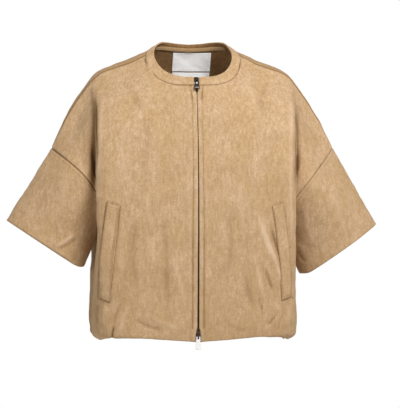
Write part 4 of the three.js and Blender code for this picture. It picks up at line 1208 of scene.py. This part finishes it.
LABEL = {"wall": 0.7, "stand": TRIM_LIFT + 0.6, "puff": 0.5, "across": 48, "down": 24, "turn_x": 0.5,
         "turn_z": 0.3, "slope": 1.15}


def add_labels():
    for name, (half_width, middle_x, top, bottom) in LABELS.items():
        x = np.linspace(middle_x - half_width, middle_x + half_width, LABEL["across"] + 1)
        gz, gx = np.meshgrid(np.linspace(top, bottom, LABEL["down"] + 1), x, indexing="ij")
        points, normals = (v.reshape(*gx.shape, 3) for v in on_back(gx.ravel(), gz.ravel()))
        level = unit(vectors(-normals[..., 0] * LABEL["turn_x"], -1, -normals[..., 2] * LABEL["turn_z"]))
        puff = LABEL["puff"] * np.sin(np.pi * (gx - x[0]) / (x[-1] - x[0]))
        puff = puff * np.sin(np.pi * (gz - top) / (bottom - top))
        middle = points + level * (WALL / 2 + LABEL["stand"] + puff)[..., None]
        piece = add_trim(f"{name}_cloth", middle, level, LABEL_CLOTH, LABEL["wall"], 0.25, name)
        surface = middle + level * LABEL["wall"] / 2
        sides = [(surface[:, column], level[:, column]) for column in (1, -2)]
        if name == "label_main":
            sides.append((surface[1, 1:-1], level[1, 1:-1]))
        add_stitches(f"{name}_stitches", sides, LABEL_CLOTH, pitch=2.8, radius=0.22)


CASING_FINE = {"per_wave": 10, "levels": 10, "smoothed_over": 9}
CASING_STAND, CASING_BELLY, CASING_RISE = 2.4, 1.5, 1.5


def add_casing():
    fold = sum(COLUMN_STEPS[:FOLD_COLUMN])
    left, right = (SHELL[name]["grid"][-1][fold:] for name in ("front_left", "front_right"))
    hem = np.vstack([right, SHELL["back"]["grid"][-1][1:-1], left[::-1]])
    lengths = np.concatenate([[0], np.cumsum(np.linalg.norm(np.diff(hem, axis=0), axis=1))])
    count = CASING["waves"] * CASING_FINE["per_wave"]
    places = np.linspace(0, lengths[-1], count + 1)
    over = CASING_FINE["smoothed_over"]
    evenly = [np.pad(np.interp(places, lengths, hem[:, c]), over // 2, mode="edge") for c in range(3)]
    soft = np.stack([np.convolve(values, np.ones(over) / over, "valid") for values in evenly], -1)
    flat = np.array([1, 1, 0])
    ahead = unit(np.gradient(soft, axis=0) * flat)
    inward = vectors(ahead[:, 1], -ahead[:, 0], 0)
    inward *= np.sign(np.einsum("ij,ij->", inward, -soft * flat))
    wave = (1 - np.cos(2 * np.pi * np.arange(count + 1) / CASING_FINE["per_wave"])) * CASING["wave_depth"]
    levels = np.linspace(0, 1, CASING_FINE["levels"] + 1)
    grid = np.array([
        soft + inward * (CASING_STAND + level * wave + CASING_BELLY * math.sin(math.pi * level))[:, None]
        + np.array([0, 0, CASING_RISE + level * CASING["height"]])
        for level in levels
    ])
    normal = np.repeat(inward[None], len(levels), axis=0)
    # The casing takes the inner side's painted shade
    piece = add_trim("hem_casing_suede", grid, normal, SUEDE_INSIDE_SHADED, CASING["wall"], 0.4,
                     "hem_casing")


# Zip
SLOPE_STEP = 4


def centre_at(z):
    """Points of the zip's middle line at levels, and the directions down it."""
    edge = SHELL["front_left"]["grid"][:, 0] * np.array([0, 1, 1])
    line = np.vstack([rim_points([0])[0], edge])
    y, below, above = (np.interp(-z + step, -line[:, 2], line[:, 1]) for step in (0, SLOPE_STEP, -SLOPE_STEP))
    return vectors(0 * z, y, z), unit(vectors(0 * z, below - above, np.full(len(z), -2.0 * SLOPE_STEP)))


# Over its tip, a tooth widens from the tip's share of its width
TOOTH = {"pitch": 2.0, "length": 1.25, "reach": 2.5, "overlap": 0.7, "height": 1.9, "bevel": 0.28,
         "tip": 0.3, "tip_width": 0.7}


def add_teeth():
    z = np.arange(CHAIN["top"] - 1, CHAIN["bottom"] + 1, -TOOTH["pitch"] / 2)
    points, down = centre_at(z)
    out = vectors(0 * z, down[:, 2], -down[:, 1])
    out *= np.sign(-out[:, 1:2])
    points = points - out * (WALL / 2 + LIFT + CHAIN["thickness"] / 2)
    near = 1 - TOOTH["bevel"]
    section = [(-1, -near), (-near, -1), (near, -1), (1, -near), (1, near), (near, 1), (-near, 1), (-1, near)]
    start, full = -TOOTH["overlap"], TOOTH["tip"] - TOOTH["overlap"]
    rings = ((start, TOOTH["tip_width"]), (full, 1), (TOOTH["reach"], 1))
    vertices, faces = [], []
    for k, (p, way, face) in enumerate(zip(points, down, out)):
        side = 1 if k % 2 else -1
        faces += stack_faces(len(vertices), len(rings), len(section))
        for reach, wide in rings:
            for a, b in section:
                vertices.append(p + np.array([side * reach, 0, 0]) + way * a * wide * TOOTH["length"] / 2
                                + face * b * wide * TOOTH["height"] / 2)
    piece = add_object("zip_teeth", np.array(vertices), faces, [GUNMETAL], smooth=False)
    settle_normals(piece)
    dress(piece, "zip_chain")


SHARP = 0.6


def plate(name, outline, low, high, material, holes=(), bevel=0.3):
    """A bevelled plate cut to an outline, between two heights, in the slider's own frame."""
    shape = bmesh.new()
    edges = []
    for ring in (outline, *holes):
        corners = [shape.verts.new((x, y, low)) for x, y in ring]
        edges += [shape.edges.new(ends) for ends in zip(corners, corners[1:] + corners[:1])]
    filled = bmesh.ops.triangle_fill(shape, use_beauty=True, use_dissolve=False, edges=edges)
    face_list = [f for f in filled["geom"] if isinstance(f, bmesh.types.BMFace)]
    grown = bmesh.ops.extrude_face_region(shape, geom=face_list)
    for v in grown["geom"]:
        if isinstance(v, bmesh.types.BMVert):
            v.co.z = high
    bmesh.ops.recalc_face_normals(shape, faces=shape.faces)
    sharp = [e for e in shape.edges if e.is_manifold and e.calc_face_angle(0) > SHARP]
    bmesh.ops.bevel(shape, geom=sharp, offset=bevel, segments=2, affect="EDGES", profile=0.5)
    bmesh.ops.recalc_face_normals(shape, faces=shape.faces)
    mesh = bpy.data.meshes.new(name)
    shape.to_mesh(mesh)
    shape.free()
    mesh.materials.append(material)
    mesh.polygons.foreach_set("use_smooth", np.full(len(mesh.polygons), False))
    return link_object(name, mesh)


def turn_upright(piece):
    """A side profile, drawn along Y and Z, from its flat drawing."""
    for v in piece.data.vertices:
        along, up, across = v.co
        v.co = (across, along, up)


def set_in_frame(pieces, z, shift=(0, 0, 0)):
    """Puts meshes made in the slider's frame (X across, Y down the zip, Z out) on the zip at z."""
    at, down = frame_line(z)
    x = np.array([-1.0, 0, 0])
    turn = np.column_stack([x, down, np.cross(x, down)])
    for piece in pieces:
        count = len(piece.data.vertices)
        local = np.zeros(count * 3)
        piece.data.vertices.foreach_get("co", local)
        placed = (local.reshape(-1, 3) + np.array(shift)) @ turn.T + at
        piece.data.vertices.foreach_set("co", (placed * MM).ravel())
        piece.data.update()


def frame_line(z):
    """Where the CAD's slider frame sits: on the straight line between the front's coarse rows."""
    panel = FRONT["left"]
    line = np.vstack([rim_points([0]), panel.point(np.zeros(len(panel.coarse)), panel.coarse)])
    line[:, 0] = 0
    i = int(np.argmax(line[1:, 2] <= z)) + 1
    above, below = line[i - 1], line[i]
    share = (above[2] - z) / (above[2] - below[2])
    return mix(above, below, share), unit(below - above)


def rounded(corners, radius, steps=4):
    """A closed outline with its corners rounded."""
    ring = []
    count = len(corners)
    for k in range(count):
        before, here, after = (np.array(corners[(k + d) % count], float) for d in (-1, 0, 1))
        a = here + unit(before - here) * radius
        b = here + unit(after - here) * radius
        for t in np.linspace(0, 1, steps + 1):
            ring.append(tuple((1 - t) ** 2 * a + 2 * t * (1 - t) * here + t * t * b))
    return ring


def both_sides(half):
    """An outline that is the same on both sides, from its first half."""
    return [*half, *[(-x, y) for x, y in reversed(half)]]


# Shares of the slider's half length and half width, and its corners and plates in mm
BODY = {"shoulder": 0.35, "foot": 0.62, "corner": 1.1, "wing_from": 0.9, "wing_bevel": 0.45, "under_to": 0.3,
        "under_bevel": 0.3}
POST = {"top": 0.9, "half_width": 1, "low_half_width": 0.8, "from": 0.1, "to": 1.1, "corner": 0.3,
        "bevel": 0.1}
BRIDGE = {"sunk": 0.4, "corner": 1, "flat": 1.2, "leg": 1, "inner_flat": 1.6, "inner_corner": 0.6,
          "bevel": 0.22}
TAB = {"corner": 0.9, "hole_corner": 0.5, "bevel": 0.3}
RIB = {"inset": 1.4, "from_end": 3.4, "to_end": 1.4, "corner": 0.6, "sunk": 0.1, "rise": 0.35, "bevel": 0.15}
STUD = {"at": 8.4, "radius": 1.35, "stretch": 1.3, "corners": 16, "rise": 0.4}


def bridge_profile():
    """The arch that the pull tab hangs on, in side view."""
    foot, reach = SLIDER["front"] - BRIDGE["sunk"], ARCH["reach"]
    under = SLIDER["front"] + ARCH["clearance"]
    over, leg = under + ARCH["strap"], reach - BRIDGE["leg"]
    outer = [(-reach, foot), (-reach, over - BRIDGE["corner"]), (-reach + BRIDGE["flat"], over)]
    inner = [(leg, foot), (leg, under - BRIDGE["inner_corner"]), (reach - BRIDGE["inner_flat"], under)]
    return [*both_sides(outer), *both_sides(inner)]


def add_slider(name, z):
    w, half = SLIDER["half_width"], SLIDER["half_length"]
    waist, foot = half * BODY["shoulder"], w * BODY["foot"]
    body = [(-w, -half), (w, -half), (w, waist), (foot, half), (-foot, half), (-w, waist)]
    body = rounded(body, BODY["corner"])
    top, post_w, low_w = -half * POST["top"], POST["half_width"], POST["low_half_width"]
    post = rounded([(-post_w, top), (post_w, top), (low_w, 0), (-low_w, 0)], POST["corner"])
    parts = [
        plate(f"slider_{name}_{part}", outline, low, high, GUNMETAL, bevel=bevel)
        for part, outline, low, high, bevel in (
            ("body", body, BODY["wing_from"], SLIDER["front"], BODY["wing_bevel"]),
            ("under", body, SLIDER["back"], BODY["under_to"], BODY["under_bevel"]),
            ("post", post, POST["from"], POST["to"], POST["bevel"]),
            ("bridge", bridge_profile(), -ARCH["half_width"], ARCH["half_width"], BRIDGE["bevel"]),
        )
    ]
    turn_upright(parts[-1])
    set_in_frame(parts, z)
    for part in parts:
        dress(part, f"zip_slider_{name}" if part is parts[0] else None)


def add_pull(name, z, length):
    head, tail, bar, window = PULL["head"], PULL["tail"], PULL["bar"], PULL["window"]
    flare = length * PULL["flare"]
    outline = [(-head, -bar), (head, -bar), (head, flare), (tail, length), (-tail, length), (-head, flare)]
    outline = rounded(outline, TAB["corner"])
    hole_end = PULL["window_end"]
    hole = [(-window, bar), (-window, hole_end), (window, hole_end), (window, bar)]
    hole = rounded(hole, TAB["hole_corner"])
    upper = name == "top"
    metal_of_tab, slot = (GUNMETAL, "zip_metal") if upper else (BRIGHT, "pull_bright")
    rib_half, rib_from, rib_to = tail - RIB["inset"], length - RIB["from_end"], length - RIB["to_end"]
    rib = [(-rib_half, rib_from), (rib_half, rib_from), (rib_half, rib_to), (-rib_half, rib_to)]
    rib = rounded(rib, RIB["corner"])
    low, metal_of_rib = bar - RIB["sunk"], RUBBED if upper else BRIGHT
    parts = [
        plate(f"pull_{name}_tab", outline, -bar, bar, metal_of_tab, [hole], TAB["bevel"]),
        plate(f"pull_{name}_rib", rib, low, bar + RIB["rise"], metal_of_rib, bevel=RIB["bevel"]),
    ]
    if upper:
        stud = [(STUD["radius"] * math.cos(a), STUD["at"] + STUD["stretch"] * STUD["radius"] * math.sin(a))
                for a in np.linspace(0, 2 * math.pi, STUD["corners"] + 1)[:-1]]
        parts.append(plate("pull_top_stud", stud, low, bar + STUD["rise"], BRIGHT, bevel=RIB["bevel"]))
    set_in_frame(parts, z, (0, PULL["along"], PULL["up"]))
    for part in parts:
        dress(part, f"zip_pull_{name}" if part is parts[0] else None, f"pull_{name}")


NECK_STITCH_ROWS, NECK_STITCH_AT, SINK = 28, 2.4, 0.12


def add_shell_stitches():
    fronts, sleeves = ("front_left", "front_right"), ("sleeve_left", "sleeve_right")
    rows = np.arange(1, len(FRONT_DOWNS) - 1)
    placket = [grid_line(name, rows, PLACKET["stitch"]) for name in fronts]
    add_stitches("placket_stitches", placket, sink=SINK)
    neck = [grid_line(name, np.arange(1, NECK_STITCH_ROWS), NECK_STITCH_AT, axis=0) for name in fronts]
    add_stitches("neck_stitches", neck, sink=SINK)
    every = np.arange(SHELL["sleeve_left"]["grid"].shape[1])
    arm = [grid_line(name, every, ARMHOLE_STITCH["at"], axis=0) for name in sleeves]
    add_stitches("armhole_stitches", arm, sink=SINK)


add_welts()
add_zip_tapes()
add_neck_tape()
add_labels()
add_casing()
add_teeth()
for end, (level, pull_length) in ZIP_ENDS.items():
    add_slider(end, level)
    add_pull(end, level, pull_length)
add_shell_stitches()


# Studio
FLOOR = {"radius": 4.0, "level": -1.35, "corners": 96}
FLOOR_GREYS = (0.84, 0.84, 0.84, 1), (0.87, 0.87, 0.87, 1)
WORLD_LIGHT = 0.3
# Place, target, size and power of each lamp, in metres and watts
LAMPS = {
    "key": ((1.0, -2.1, 1.7), (0, 0, -0.2), 1.3, 88),
    "fill": ((-2.6, -1.7, 0.3), (0, 0, -0.3), 2.0, 24),
}
SENSOR_MM, PHOTO_HEIGHT = 36.0, 408


def aim(thing, way):
    thing.rotation_mode = "QUATERNION"
    thing.rotation_quaternion = way.to_track_quat("-Z", "Y")


def add_floor():
    ring = [(FLOOR["radius"] * math.cos(a), FLOOR["radius"] * math.sin(a), FLOOR["level"])
            for a in np.linspace(0, 2 * math.pi, FLOOR["corners"] + 1)[:-1]]
    mesh = bpy.data.meshes.new("floor")
    mesh.from_pydata(ring, [], [tuple(range(len(ring)))])
    floor = link_object("floor", mesh)
    s = Shader("floor_white")
    s.feed(s.blend(s.noise(400, 2), *FLOOR_GREYS), s.surface.inputs["Base Color"])
    s.set(Roughness=0.9, Specular_IOR_Level=0.1)
    mesh.materials.append(s.material)


def add_world():
    world = bpy.data.worlds.new("studio")
    bpy.context.scene.world = world
    world.use_nodes = True
    tree = world.node_tree
    background = tree.nodes["Background"]
    seen = tree.nodes.new("ShaderNodeLightPath")
    strength = tree.nodes.new("ShaderNodeMapRange")
    strength.inputs["To Min"].default_value = WORLD_LIGHT
    strength.inputs["To Max"].default_value = 1.0
    tree.links.new(seen.outputs["Is Camera Ray"], strength.inputs["Value"])
    tree.links.new(strength.outputs["Result"], background.inputs["Strength"])
    background.inputs["Color"].default_value = (1, 1, 1, 1)


def add_lamps():
    for name, (place, target, size, power) in LAMPS.items():
        data = bpy.data.lights.new(name, "AREA")
        data.shape = "DISK"
        data.size, data.energy = size, power
        lamp = link_object(name, data)
        lamp.location = place
        aim(lamp, Vector(target) - Vector(place))


def add_camera():
    data = bpy.data.cameras.new("camera")
    camera = link_object("camera", data)
    data.sensor_width = SENSOR_MM
    data.lens = data.sensor_width * VIEW_DISTANCE / (PHOTO_HEIGHT * PIXEL)
    target = Vector(VIEW_RIGHT * VIEW_AIM_RIGHT) + Vector((0, 0, VIEW_AIM_Z))
    back = Vector(VIEW_BACK)
    camera.location = (target + back * VIEW_DISTANCE) * MM
    aim(camera, -back)
    data.clip_start, data.clip_end = 0.1, 100.0
    bpy.context.scene.camera = camera


add_floor()
add_world()
add_lamps()
add_camera()
bpy.context.scene.view_settings.view_transform = "Standard"
bpy.context.scene.view_settings.look = "None"
